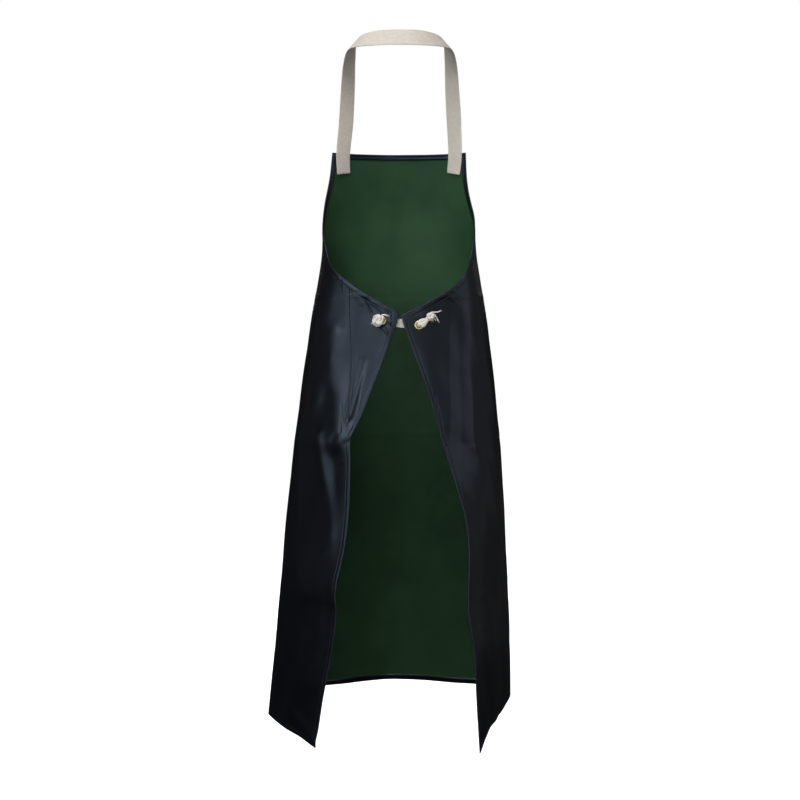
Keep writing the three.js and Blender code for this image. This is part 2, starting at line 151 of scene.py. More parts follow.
# How far the sheet reaches round from the front on each side, as a share of half the plan
# section's girth
ARMHOLE = Table(
    ("level", "left", "right"),
    (
        (0.180, 0.345, 0.345), (0.250, 0.385, 0.385), (0.300, 0.455, 0.46), (0.340, 0.54, 0.55),
        (0.366, 0.592, 0.601), (0.388, 0.626, 0.634), (0.400, 0.652, 0.658), (0.413, 0.690, 0.683),
        (0.431, 0.760, 0.727), (0.445, 0.812, 0.774), (0.460, 0.874, 0.836), (0.476, 0.945, 0.910),
        (0.489, 1.0, 0.974), (0.495, 1.0, 1.0),
    ),
)

# How far the hem hangs below its level at the front, from the right back corner to the left one
HEM_LINE = Table(
    ("share", "drop"),
    (
        (-1.0, 0.042), (-0.95, 0.028), (-0.9, 0.0195), (-0.85, 0.0155), (-0.75, 0.0145),
        (-0.65, 0.014), (-0.55, 0.009), (-0.4, 0.003), (0.0, 0.0), (0.35, 0.004), (0.55, 0.0125),
        (0.65, 0.0175), (0.7, 0.021), (0.8, 0.022), (0.9, 0.025), (1.0, 0.034),
    ),
)

# Soft upright folds: each grows from its start level to its full height at the hem
FOLDS = Table(
    ("arc", "start", "half_width", "height"),
    (
        (0.0, 0.640, 0.058, 0.007),
        (0.105, 0.600, 0.046, -0.008),
        (-0.112, 0.610, 0.048, -0.008),
        (0.205, 0.660, 0.050, 0.007),
        (-0.200, 0.640, 0.046, 0.006),
        (0.372, 0.760, 0.040, -0.004),
        (-0.352, 0.780, 0.046, -0.003),
    ),
)


def smoothstep(value: Array, low: float, high: float) -> Array:
    """Rises from 0 at low to 1 at high, level at both ends."""
    t = np.clip((value - low) / (high - low), 0.0, 1.0)
    return t * t * (3 - 2 * t)


def unit(vectors: Array) -> Array:
    """Gives each vector a length of 1."""
    return vectors / np.linalg.norm(vectors, axis=-1, keepdims=True)


@dataclass
class MeshParts:
    """A mesh in the making: points, faces, and what the finish reads from them."""

    points: Array
    faces: list[Array]
    uvs: Array
    slots: Array | None = None
    values: dict[str, Array] = field(default_factory=dict)

    def joined(self, other: "MeshParts") -> "MeshParts":
        """Puts another mesh's points and faces after this one's."""
        start = len(self.points)
        return MeshParts(
            np.concatenate([self.points, other.points]),
            self.faces + [faces + start for faces in other.faces],
            np.concatenate([self.uvs, other.uvs]),
        )

    def as_object(self, name: str, *materials: bpy.types.Material) -> bpy.types.Object:
        """Puts the arrays into a smooth mesh object at the origin.

        Args:
            name: The piece's name.
            materials: The materials that the face slots count through.

        Returns:
            The new object, linked to the scene.
        """
        mesh = bpy.data.meshes.new(name)
        corners = np.concatenate([faces.ravel() for faces in self.faces]).astype(np.int32)
        sizes = np.concatenate([np.full(len(f), f.shape[1]) for f in self.faces])
        starts = (np.cumsum(sizes) - sizes).astype(np.int32)
        mesh.vertices.add(len(self.points))
        mesh.vertices.foreach_set("co", self.points.astype(np.float32).ravel())
        mesh.loops.add(len(corners))
        mesh.loops.foreach_set("vertex_index", corners)
        mesh.polygons.add(len(sizes))
        mesh.polygons.foreach_set("loop_start", starts)
        mesh.polygons.foreach_set("use_smooth", np.ones(len(sizes), bool))
        for material in materials:
            mesh.materials.append(material)
        if self.slots is not None:
            mesh.polygons.foreach_set("material_index", self.slots.astype(np.int32))
        layer = mesh.uv_layers.new(name="UVMap")
        layer.data.foreach_set("uv", self.uvs[corners].astype(np.float32).ravel())
        for key, value in self.values.items():
            attribute = mesh.attributes.new(key, "FLOAT", "POINT")
            attribute.data.foreach_set("value", value.astype(np.float32).ravel())
        mesh.update(calc_edges=True)
        mesh.validate()
        piece = bpy.data.objects.new(name, mesh)
        bpy.context.scene.collection.objects.link(piece)
        return piece


def grid_faces(numbers: Array) -> Array:
    """Joins a grid of point numbers into quads, which turn from rows towards columns."""
    return np.stack(
        [numbers[:-1, :-1], numbers[1:, :-1], numbers[1:, 1:], numbers[:-1, 1:]], axis=-1
    ).reshape(-1, 4)


@dataclass
class WornForm:
    """The sheet's worn shape: a plan section at each level, with soft upright folds."""

    bib_top: float = 0.190
    wing_corner: float = 0.489
    front_hem: float = 1.219
    wing_gap: float = 0.0016
    hem_drop_onset: float = 4.0
    front_bow: float = 2.2
    level_step: float = 0.002
    outline_steps: int = 64
    share_steps: int = 640
    edge_margin: float = 0.001

    def __post_init__(self) -> None:
        """Works out every plan section once, at even levels and even shares of its run."""
        self.levels = np.arange(SECTIONS.rows[0][0], SECTIONS.rows[-1][0], self.level_step)
        sections = SECTIONS.read(self.levels)
        left = self.half_outline(sections, "left")
        right = self.half_outline(sections, "right") * (-1, 1)
        outline = np.concatenate([right[:, :0:-1], left], axis=1)
        gaps = np.linalg.norm(np.diff(outline, axis=1), axis=2)
        run = np.concatenate([np.zeros((len(self.levels), 1)), np.cumsum(gaps, axis=1)], axis=1)
        apart = np.arange(len(self.levels))[:, None] * math.ceil(run.max() + 1)
        wanted = np.linspace(0, 1, self.share_steps + 1) * run[:, -1:] + apart
        known = (run + apart).ravel()
        plan = [np.interp(wanted.ravel(), known, outline[..., k].ravel()) for k in (0, 1)]
        self.plan = np.stack(plan, axis=-1).reshape(*wanted.shape, 2)
        along = np.gradient(self.plan, axis=1)
        self.normals = unit(np.stack([along[..., 1], -along[..., 0]], axis=-1))
        self.half_girths = run[:, -1] / 2

    def half_outline(self, sections: dict[str, Array], side: str) -> Array:
        """One side of every plan section, from the middle of the front to the back edge.

        The front quarter is a superellipse with the front bow as its power. The back stretch is
        another, with the side's own bow, cut off where it meets the back edge.

        Args:
            sections: The columns of the section table, read at every level.
            side: "left" or "right", which ends the columns' names.

        Returns:
            Points of shape (levels, steps, 2), with x measured away from the middle.
        """
        front = sections["front"][:, None]
        half = sections[f"half_{side}"][:, None]
        middle = sections[f"side_{side}"][:, None]
        edge_x = np.maximum(sections[f"edge_x_{side}"], self.wing_gap / 2)[:, None]
        edge_y = sections[f"edge_y_{side}"][:, None]
        bow = sections[f"bow_{side}"][:, None]
        t = np.linspace(0, 1, self.outline_steps + 1)[None, :]
        turn = t * np.pi / 2
        quarter = np.stack(
            [
                half * np.sin(turn) ** (2 / self.front_bow),
                middle - (middle - front) * np.abs(np.cos(turn)) ** (2 / self.front_bow),
            ],
            axis=-1,
        )
        deep = (edge_y - middle) / (1 - (edge_x / half) ** bow) ** (1 / bow)
        turn = t[:, 1:] * np.arccos((edge_x / half) ** (bow / 2))
        wing = np.stack(
            [half * np.cos(turn) ** (2 / bow), middle + deep * np.sin(turn) ** (2 / bow)],
            axis=-1,
        )
        return np.concatenate([quarter, wing], axis=1)

    def half_girth(self, level: Array) -> Array:
        """Half the length of the whole plan section at a level."""
        return np.interp(level, self.levels, self.half_girths)

    def reach(self, level: Array, side: Array | int) -> Array:
        """How far round the sheet reaches: to the armhole, or to the back edge below it.

        Args:
            level: Distances down from the nape.
            side: Numbers that are positive on the left, which broadcast with the levels.

        Returns:
            Distances round from the middle of the front.
        """
        share = ARMHOLE.read(level)
        side_share = np.where(np.asarray(side) > 0, share["left"], share["right"])
        return np.minimum(side_share, 1.0) * self.half_girth(level)

    def fold_height(self, arc: Array, level: Array) -> Array:
        """How far the soft folds push the sheet out: bells across, growing smoothly downwards.

        Args:
            arc: Distances round from the middle of the front.
            level: Distances down from the nape, which broadcast with the arcs.

        Returns:
            Heights along the plan's outward direction.
        """
        height = np.zeros(np.broadcast(arc, level).shape)
        for fold in FOLDS.named():
            grown = smoothstep(level, fold["start"], self.front_hem)
            across = (arc - fold["arc"]) / fold["half_width"]
            height = height + fold["height"] * grown * np.exp(-(across**2))
        return height

    def point(self, arc: Array, level: Array, relief: Array | float = 0.0) -> Array:
        """Points of the sheet's outer face.

        The plan point is blended from the four nearest of the worked-out sections, then pushed
        along the plan's outward direction by the folds and by the relief given.

        Args:
            arc: Distances round from the middle of the front.
            level: Distances down from the nape, of the same shape.
            relief: Heights of finer shapes on top of the folds.

        Returns:
            Points, with three coordinates on the last axis.
        """
        share = np.clip(arc / self.half_girth(level), -1, 1)
        last_row = len(self.levels) - 1 - self.edge_margin
        last_column = self.share_steps - self.edge_margin
        row = np.clip((level - self.levels[0]) / self.level_step, 0, last_row)
        column = np.clip((share + 1) / 2 * self.share_steps, 0, last_column)
        r, c = row.astype(int), column.astype(int)
        down, along = (row - r)[..., None], (column - c)[..., None]

        def blended(values: Array) -> Array:
            """Blends the four nearest entries of a field over levels and shares."""
            rows = [values[k, c] * (1 - along) + values[k, c + 1] * along for k in (r, r + 1)]
            return rows[0] * (1 - down) + rows[1] * down

        pushed = (self.fold_height(arc, level) + relief)[..., None]
        plan = blended(self.plan) + blended(self.normals) * pushed
        return np.concatenate([plan, -level[..., None]], axis=-1)


@dataclass
class Place:
    """A point on the sheet with the directions out of it, up it and to its left."""

    point: Array
    out: Array

    def __post_init__(self) -> None:
        """Works out the two directions that lie in the sheet."""
        upward = np.array([0.0, 0.0, 1.0])
        self.up = unit(upward - self.out * (upward @ self.out))
        self.aside = np.cross(self.out, self.up)

    def at(self, local: Array) -> Array:
        """Moves points given as (aside, up, out) to the model's frame."""
        return self.point + local @ np.stack([self.aside, self.up, self.out])


@dataclass(frozen=True)
class EyeletSpot:
    """Where an eyelet pierces its wing: a level and a distance in from the wing's back edge."""

    name: str
    side: Side
    level: float
    inset: float


LEFT_SPOT = EyeletSpot("eyelet_left", Side.LEFT, 0.504, 0.029)
RIGHT_SPOT = EyeletSpot("eyelet_right", Side.RIGHT, 0.512, 0.028)


def spot_place(form: WornForm, spot: EyeletSpot, probe: float = 0.002) -> Place:
    """Finds an eyelet's place on the plain worn form.

    Args:
        form: The worn form.
        spot: The eyelet's level and inset.
        probe: Half the distance between the points that give the outward direction.

    Returns:
        The place on the sheet's outer face.
    """
    level = np.array(spot.level)
    arc = spot.side.value * (form.reach(level, spot.side.value) - spot.inset)
    along = form.point(arc + probe, level) - form.point(arc - probe, level)
    down = form.point(arc, level + probe) - form.point(arc, level - probe)
    return Place(form.point(arc, level), unit(np.cross(down, along)))


# Folds that the sheet keeps from lying in its pack, as lines across arcs or levels; each fades
# out between two arcs, which lie past the sheet's edge where it doesn't
PACK_CREASES = Table(
    ("at", "across_arcs", "half_width", "height", "fade_from", "fade_to"),
    (
        (0.0, 1, 0.0080, 0.0007, 0.9, 1.0),
        (0.460, 0, 0.0035, 0.0006, 0.9, 1.0),
        (0.725, 0, 0.0050, -0.0004, 0.20, 0.33),
        (0.993, 0, 0.0050, 0.0004, 0.9, 1.0),
    ),
)

# Broad ridges and grooves on the wings, each along a line from one place to another, with its
# height at both ends; the power is 2 for a rounded one and 1 for one with a sharp crest
RIDGES = Table(
    (
        "from_arc", "from_level", "from_height", "to_arc", "to_level", "to_height", "half_width",
        "power",
    ),
    (
        (0.322, 0.535, 0.0018, 0.404, 0.712, 0.0050, 0.0270, 2),
        (0.4095, 0.676, -0.0033, 0.3985, 0.576, -0.0012, 0.0068, 2),
        (0.431, 0.700, 0.0012, 0.411, 0.606, 0.0004, 0.0048, 2),
        (0.436, 0.717, -0.0016, 0.418, 0.724, 0.0000, 0.0045, 2),
        (0.316, 0.575, -0.0014, 0.344, 0.648, -0.0020, 0.0180, 2),
        (0.429, 0.480, 0.0010, 0.433, 0.540, 0.0008, 0.0120, 2),
        (0.360, 0.712, 0.0042, 0.430, 0.888, 0.0011, 0.0155, 2),
        (0.430, 0.888, 0.0008, 0.464, 0.968, 0.0013, 0.0145, 2),
        (0.415, 1.200, 0.0014, 0.518, 1.240, 0.0024, 0.0110, 2),
        (-0.332, 0.457, 0.0006, -0.419, 0.717, 0.0012, 0.0060, 1),
        (-0.309, 0.494, 0.0008, -0.371, 0.728, 0.0018, 0.0120, 2),
        (-0.322, 0.475, -0.0003, -0.396, 0.722, -0.0010, 0.0065, 2),
    ),
)

# Fine creases of the same kind, too narrow for the sheet's mesh, which its finish draws
CREASES = Table(
    ("from_arc", "from_level", "from_height", "to_arc", "to_level", "to_height", "half_width"),
    (
        (0.328, 0.446, -0.0004, 0.415, 0.692, -0.0005, 0.0021),
        (0.377, 0.548, -0.0002, 0.405, 0.650, -0.0004, 0.0022),
        (0.386, 0.652, -0.0002, 0.409, 0.703, -0.0005, 0.0030),
        (0.361, 0.463, -0.0005, 0.386, 0.490, -0.0007, 0.0028),
        (0.366, 0.461, 0.0004, 0.413, 0.492, 0.0006, 0.0060),
        (0.337, 0.449, 0.0005, 0.362, 0.474, 0.0003, 0.0060),
        (0.298, 0.428, 0.0004, 0.330, 0.446, 0.0003, 0.0050),
        (0.310, 0.432, 0.0003, 0.318, 0.454, 0.0001, 0.0040),
        (0.410, 0.502, 0.0005, 0.429, 0.515, 0.0003, 0.0040),
        (0.407, 0.517, 0.0005, 0.426, 0.531, 0.0003, 0.0040),
        (0.411, 0.512, -0.0005, 0.429, 0.524, -0.0003, 0.0026),
        (-0.420, 0.636, -0.0003, -0.430, 0.724, -0.0010, 0.0030),
        (-0.327, 0.449, 0.0003, -0.296, 0.467, 0.0001, 0.0060),
        (-0.345, 0.452, 0.0003, -0.322, 0.476, 0.0001, 0.0060),
        (-0.398, 1.004, 0.0005, -0.424, 1.122, 0.0002, 0.0050),
    ),
)

# Small hollows in the sheet
DIMPLES = Table(
    ("arc", "level", "half_width", "height"),
    (
        (0.434, 0.722, 0.009, -0.0012),
        (0.400, 0.716, 0.010, -0.0016),
        (0.336, 0.517, 0.008, -0.0006),
        (0.342, 0.573, 0.008, -0.0005),
        (-0.425, 0.704, 0.012, -0.0018),
    ),
)

# Slow unevenness of the hanging sheet: waves over arcs and levels
WAVES = Table(
    ("arc_length", "level_length", "shift", "height"),
    (
        (0.210, 0.900, 0.4, 0.0011),
        (0.137, -0.520, 1.9, 0.0008),
        (0.083, 0.330, 3.1, 0.0005),
        (0.061, -0.210, 5.2, 0.0003),
    ),
)


@dataclass
class VinylSheet:
    """The apron's one cut sheet: bib, skirt and wings, with hems folded to the inside."""

    form: WornForm
    name: str = "apron_sheet"
    wall: float = 0.0012
    hem_wall: float = 0.0024
    hem_width: float = 0.010
    hem_step: float = 0.0006
    hem_steepest: float = 2.6
    hem_puff: float = 0.00018
    stitch_inset: float = 0.008
    stitch_groove: float = 0.0003
    groove_half: float = 0.0006
    pucker_pitch: float = 0.010
    pucker_height: float = 0.00035
    pucker_depth: float = 0.014
    pucker_mix: tuple[float, float] = (0.6, 0.4)
    pucker_second: tuple[float, float] = (0.618, 1.3)
    pucker_onset: tuple[float, float] = (0.300, 0.380)
    pucker_end: tuple[float, float] = (0.470, 0.500)
    # How far in from the edge the paler paint reaches: partly rubbed wear, partly a painted highlight
    # along the edge
    rub_and_highlight_depth: float = 0.0012
    front_columns: int = 36
    wing_columns: int = 60
    wing_share: float = 0.66
    hole: float = 0.0106
    calm_near: float = 0.009
    calm_far: float = 0.014
    hem_lines: tuple[float, ...] = (
        0.0, 0.0003, 0.0009, 0.002, 0.0045, 0.0068, 0.0075, 0.008, 0.0085, 0.0092, 0.010, 0.0106,
        0.0125,
    )
    row_spacing: tuple[tuple[float, float], ...] = (
        (0.300, 0.0070), (0.460, 0.0032), (0.560, 0.0032), (0.725, 0.0033), (0.900, 0.0045),
        (0.993, 0.0070), (1.2065, 0.0070),
    )

    def slant(self, level: Array, side: Array | int) -> Array:
        """How much wider than square the hem is along a level, where the armhole slants.

        The width grows as the length of the edge over a step of level, and is held at a steepest
        one. Below the wing corner it falls back to 1.

        Args:
            level: Distances down from the nape.
            side: Numbers that are positive on the left, which broadcast with the levels.

        Returns:
            Factors of 1 or more.
        """
        probe = 0.001
        above = np.minimum(level, self.form.wing_corner - probe)
        rise = self.form.reach(above + probe, side) - self.form.reach(above - probe, side)
        slope = rise / (2 * probe)
        steep = np.clip(np.hypot(slope, 1), 1, self.hem_steepest)
        corner = self.form.wing_corner
        return steep + (1 - steep) * smoothstep(level, corner, corner + 2 * self.hem_width)

    def hung_level(self, share: Array, row: Array) -> Array:
        """Drops a row's level towards the back, where the hem hangs lowest.

        Args:
            share: Places across the sheet, from -1 at the right edge to 1 at the left edge.
            row: Levels before the drop.

        Returns:
            Levels after it: the hem's drop times a power of the way down from the wing corner.
        """
        corner, hem = self.form.wing_corner, self.form.front_hem
        onset = np.clip((row - corner) / (hem - corner), 0, None) ** self.form.hem_drop_onset
        return row + HEM_LINE.read(share)["drop"] * onset

    def border(self, share: Array, row: Array) -> Array:
        """Distance to the nearest edge of the sheet.

        Args:
            share: Places across the sheet.
            row: Levels before the hem's drop.

        Returns:
            The smallest of the distances to the side edge, the top and the hem.
        """
        beside = (1 - np.abs(share)) * self.form.reach(row, share) / self.slant(row, share)
        ends = np.minimum(row - self.form.bib_top, self.form.front_hem - row)
        return np.minimum(beside, ends)

    def creases(self, arc: Array, row: Array) -> Array:
        """Pack folds: heights that fall off evenly on both sides of each line.

        Args:
            arc: Distances round from the middle of the front.
            row: Levels before the hem's drop.

        Returns:
            Heights, in metres.
        """
        height = np.zeros(arc.shape)
        for crease in PACK_CREASES.named():
            across = (arc if crease["across_arcs"] else row) - crease["at"]
            kept = 1 - smoothstep(arc, crease["fade_from"], crease["fade_to"])
            height += crease["height"] * kept * np.exp(-np.abs(across) / crease["half_width"])
        return height

    def ridges(self, arc: Array, level: Array) -> Array:
        """Ridges and grooves: bells over the distance from each line's nearest point.

        Args:
            arc: Distances round from the middle of the front.
            level: Distances down from the nape.

        Returns:
            Heights, in metres.
        """
        height = np.zeros(arc.shape)
        for ridge in RIDGES.named():
            run = (ridge["to_arc"] - ridge["from_arc"], ridge["to_level"] - ridge["from_level"])
            here = (arc - ridge["from_arc"], level - ridge["from_level"])
            share = (here[0] * run[0] + here[1] * run[1]) / (run[0] ** 2 + run[1] ** 2)
            share = np.clip(share, 0, 1)
            away = np.hypot(here[0] - share * run[0], here[1] - share * run[1])
            crest = ridge["from_height"] + (ridge["to_height"] - ridge["from_height"]) * share
            height += crest * np.exp(-((away / ridge["half_width"]) ** ridge["power"]))
        return height

    def unevenness(self, arc: Array, level: Array) -> Array:
        """Dimples, as bells over the distance to each, and waves, as sines over arc and level.

        Args:
            arc: Distances round from the middle of the front.
            level: Distances down from the nape.

        Returns:
            Heights, in metres.
        """
        height = np.zeros(arc.shape)
        for dimple in DIMPLES.named():
            away = np.hypot(arc - dimple["arc"], level - dimple["level"])
            height += dimple["height"] * np.exp(-((away / dimple["half_width"]) ** 2))
        for wave in WAVES.named():
            turns = arc / wave["arc_length"] + level / wave["level_length"]
            height += wave["height"] * np.sin(2 * np.pi * turns + wave["shift"])
        return height

    def hem_relief(self, share: Array, row: Array, border: Array) -> Array:
        """The hem's shape outside: a soft swell, a groove at the stitches, and puckers.

        The puckers are two sines along the armhole's curve, and fade out away from the edge.

        Args:
            share: Places across the sheet.
            row: Levels before the hem's drop.
            border: Distances to the nearest edge.

        Returns:
            Heights, in metres.
        """
        swell = np.clip(border / self.stitch_inset, 0, 1)
        height = self.hem_puff * 4 * swell * (1 - swell)
        groove = (border - self.stitch_inset) / self.groove_half
        height = height - self.stitch_groove * np.exp(-(groove**2))
        along = np.hypot(self.form.reach(row, share), row - self.form.bib_top)
        first, second = self.pucker_mix
        pace, shift = self.pucker_second
        turns = 2 * np.pi * along / self.pucker_pitch + np.sign(share)
        ripple = first * np.sin(turns) + second * np.sin(turns * pace + shift)
        curved = smoothstep(row, *self.pucker_onset) * (1 - smoothstep(row, *self.pucker_end))
        return height + self.pucker_height * ripple * curved * np.exp(-border / self.pucker_depth)

    def calm(self, arc: Array, level: Array) -> Array:
        """Falls to 0 round each eyelet, whose flanges press the sheet flat.

        Args:
            arc: Distances round from the middle of the front.
            level: Distances down from the nape.

        Returns:
            The share of the relief that is kept, from 0 to 1.
        """
        kept = np.ones(arc.shape)
        for spot in (LEFT_SPOT, RIGHT_SPOT):
            side = spot.side.value
            middle = side * (self.form.reach(np.array(spot.level), side) - spot.inset)
            away = np.hypot(arc - middle, level - spot.level)
            kept *= smoothstep(away, self.calm_near, self.calm_far)
        return kept

    def outer(self, share: Array, row: Array) -> Array:
        """Points of the outer face.

        Args:
            share: Places across the sheet, from -1 at the right edge to 1 at the left edge.
            row: Levels before the hem drops towards the back, of the same shape.

        Returns:
            Points, with three coordinates on the last axis.
        """
        level = self.hung_level(share, row)
        arc = share * self.form.reach(level, share)
        relief = self.creases(arc, row) + self.ridges(arc, level) + self.unevenness(arc, level)
        relief = relief + self.hem_relief(share, row, self.border(share, row))
        return self.form.point(arc, level, relief * self.calm(arc, level))

    def face(self, share: Array, row: Array, probe: float = 0.0008) -> tuple[Array, Array]:
        """Points of the outer face and the directions out of it.

        Args:
            share: Places across the sheet.
            row: Levels before the hem's drop.
            probe: Half the distance between the points that give the directions.

        Returns:
            The points and the outward directions.
        """
        step = probe / self.form.reach(row, share)
        along = self.outer(share + step, row) - self.outer(share - step, row)
        down = self.outer(share, row + probe) - self.outer(share, row - probe)
        return self.outer(share, row), unit(np.cross(down, along))

    def grid(self) -> tuple[Array, Array]:
        """Shares and rows of the sheet's points, close together at the hems.

        Returns:
            Two arrays of shape (rows, columns).
        """
        lines = np.array(self.hem_lines)
        stretches = [self.form.bib_top + lines]
        for to, spacing in self.row_spacing:
            start = stretches[-1][-1]
            count = max(1, round((to - start) / spacing))
            stretches.append(np.linspace(start, to, count + 1)[1:])
        stretches.append(self.form.front_hem - lines[-2::-1])
        row = np.concatenate(stretches)[:, None]
        left, right = (
            1 - lines[None, :] * self.slant(row, side.value) / self.form.reach(row, side.value)
            for side in (Side.LEFT, Side.RIGHT)
        )
        turn = self.wing_share
        wing = np.linspace(turn, 1, self.wing_columns + 1)
        front = np.linspace(-turn, turn, self.front_columns + 1)
        across = np.concatenate([-wing[::-1], front[1:-1], wing])[None, 1:-1]
        inside = across * np.where(across > 0, left[:, -1:], right[:, -1:])
        share = np.concatenate([-right, inside, left[:, ::-1]], axis=1)
        return share, np.broadcast_to(row, share.shape)

    def parts(self) -> MeshParts:
        """The sheet as one closed surface.

        The inner face lies a wall's thickness under the outer one, along the grid's own normals.
        The wall doubles over the hem, and its two faces meet in a half round at the edge.

        Returns:
            The mesh, with its arcs and levels as UVs, and as an attribute the nearness to the edge,
            where the finish paints the edges paler, partly as rubbed wear and partly as a painted
            highlight.
        """
        share, row = self.grid()
        border = self.border(share, row)
        skin = self.outer(share, row)
        normals = unit(np.cross(np.gradient(skin, axis=0), np.gradient(skin, axis=1)))
        past_hem = smoothstep(border, self.hem_width, self.hem_width + self.hem_step)
        full = self.hem_wall + (self.wall - self.hem_wall) * past_hem
        rounding = np.clip(border / (self.hem_wall / 2), 0, 1)
        thick = full * np.sqrt(1 - (1 - rounding) ** 2)
        outer = skin - normals * ((full - thick) / 2)[..., None]
        inner = outer - normals * thick[..., None]
        numbers = np.arange(share.size).reshape(share.shape)
        under = numbers.copy()
        body = (slice(1, -1), slice(1, -1))
        under[body] = share.size + np.arange(under[body].size).reshape(under[body].shape)
        level = self.hung_level(share, row)
        spread = np.stack([share * self.form.reach(level, share), -level], axis=-1)
        faces = [grid_faces(numbers), grid_faces(under[:, ::-1])]
        middle = (border[:-1, :-1] + border[1:, 1:]) / 2
        lining = middle[:, ::-1].ravel() > self.hem_width + self.hem_step / 2
        # Nearness to the edge, which the finish paints paler: partly rubbed wear, partly a painted
        # highlight
        rub_and_highlight = np.exp(-border / self.rub_and_highlight_depth)
        return MeshParts(
            np.concatenate([outer.reshape(-1, 3), inner[body].reshape(-1, 3)]),
            faces,
            np.concatenate([spread.reshape(-1, 2), spread[body].reshape(-1, 2)]),
            np.concatenate([np.zeros(len(faces[0])), lining]),
            {"rub_and_highlight": np.concatenate([rub_and_highlight.ravel(), rub_and_highlight[body].ravel()])},
        )

    def build(self, outside: bpy.types.Material, inside: bpy.types.Material) -> bpy.types.Object:
        """Makes the sheet and punches the eyelets' holes.

        Args:
            outside: The finish of the outer face and of the folded hems.
            inside: The finish of the inner face.

        Returns:
            The finished piece.
        """
        sheet = self.parts().as_object(self.name, outside, inside)
        places = [spot_place(self.form, spot) for spot in (LEFT_SPOT, RIGHT_SPOT)]
        pierce(sheet, places, self.hole / 2)
        return sheet


def pierce(
    piece: bpy.types.Object, places: list[Place], radius: float, half: float = 0.006, sides: int = 32
) -> None:
    """Cuts round holes through a thin piece, square to its face.

    Args:
        piece: The piece, whose mesh is replaced by the cut one.
        places: The middles of the holes.
        radius: The holes' radius.
        half: How far the punch reaches on each side of the face.
        sides: How many sides the punch has.
    """
    line = np.array([-half, half])
    punch = None
    for place in places:
        path = place.at(np.stack([0 * line, 0 * line, line], axis=-1))
        facing = np.repeat(place.up[None], 2, axis=0)
        wide = np.full(2, 2 * radius)
        bar = Ribbon(path, facing, wide, wide, Section.ROUND, sides=sides).parts()
        punch = bar if punch is None else punch.joined(bar)
    cutter = punch.as_object("punch")
    cut = piece.modifiers.new("holes", "BOOLEAN")
    cut.operation = "DIFFERENCE"
    cut.solver = "EXACT"
    cut.object = cutter
    ready = piece.evaluated_get(bpy.context.evaluated_depsgraph_get())
    whole = piece.data
    piece.data = bpy.data.meshes.new_from_object(ready)
    piece.data.name = whole.name
    piece.modifiers.clear()
    bpy.data.meshes.remove(whole)
    bpy.data.objects.remove(cutter)


@dataclass
class Ribbon:
    """A tape or cord: a section carried along a path, with a facing, width and thickness each step."""

    centres: Array
    facings: Array
    widths: Array
    thicks: Array
    section: Section
    sides: int = 24
    pleats: int = 0
    pleat_depth: float = 0.0
    closed: bool = False

    @classmethod
    def through(cls, given: Array, steps: int, section: Section, **settings: float) -> "Ribbon":
        """Spreads stations evenly along a smooth curve through a few given ones.

        Args:
            given: Rows of centre (3), facing (3), width and thickness.
            steps: How many steps the curve is cut into.
            section: The section's squareness.
            settings: Other fields of the ribbon.

        Returns:
            The ribbon.
        """
        gaps = np.linalg.norm(np.diff(given[:, :3], axis=0), axis=1)
        run = np.concatenate([[0.0], np.cumsum(gaps)])
        names = ("run", "x", "y", "z", "facing_x", "facing_y", "facing_z", "width", "thick")
        rows = tuple(map(tuple, np.column_stack([run, given])))
        read = Table(names, rows).read(np.linspace(0, run[-1], steps + 1))
        centres = np.stack([read[n] for n in names[1:4]], axis=-1)
        facings = unit(np.stack([read[n] for n in names[4:7]], axis=-1))
        return cls(centres, facings, read["width"], read["thick"], section, **settings)

    def parts(self) -> MeshParts:
        """The ribbon as a closed surface.

        Round each ring the point at an angle is (cos, sin), each raised to 2 / squareness with
        its sign kept, times half the width across and half the thickness along the facing, and
        swollen and pinched by a cosine for each pleat. An open ribbon ends in flat fans.

        Returns:
            The mesh, with the place across and the run along as UVs.
        """
        if self.closed:
            along = np.roll(self.centres, -1, axis=0) - np.roll(self.centres, 1, axis=0)
        else:
            along = np.gradient(self.centres, axis=0)
        along = unit(along)
        across = unit(np.cross(along, self.facings))
        face = np.cross(across, along)
        angle = 2 * np.pi * (np.arange(self.sides) + 0.5) / self.sides
        power = 2 / self.section.value
        swell = 1 + self.pleat_depth * np.cos(self.pleats * angle)
        wide = np.sign(np.cos(angle)) * np.abs(np.cos(angle)) ** power * swell
        tall = np.sign(np.sin(angle)) * np.abs(np.sin(angle)) ** power * swell
        rings = (
            self.centres[:, None]
            + across[:, None] * (self.widths[:, None] / 2 * wide)[..., None]
            + face[:, None] * (self.thicks[:, None] / 2 * tall)[..., None]
        )
        steps = np.linalg.norm(np.diff(self.centres, axis=0), axis=1)
        run = np.concatenate([[0.0], np.cumsum(steps)])
        uvs = np.stack(
            np.broadcast_arrays(self.widths[:, None] / 2 * wide, run[:, None]), axis=-1
        )
        count = len(self.centres)
        numbers = np.arange(count * self.sides).reshape(count, self.sides)
        numbers = np.concatenate([numbers, numbers[:, :1]], axis=1)
        if self.closed:
            faces = [grid_faces(np.concatenate([numbers, numbers[:1]]))]
            return MeshParts(rings.reshape(-1, 3), faces, uvs.reshape(-1, 2))
        ends = np.stack([self.centres[0], self.centres[-1]])
        first, last = count * self.sides + np.arange(2)
        fans = [
            np.stack([np.full(self.sides, first), numbers[0, :-1], numbers[0, 1:]], axis=-1),
            np.stack([np.full(self.sides, last), numbers[-1, 1:], numbers[-1, :-1]], axis=-1),
        ]
        points = np.concatenate([rings.reshape(-1, 3), ends])
        return MeshParts(
            points,
            [grid_faces(numbers), *fans],
            np.concatenate([uvs.reshape(-1, 2), np.array([[0, run[0]], [0, run[-1]]])]),
        )


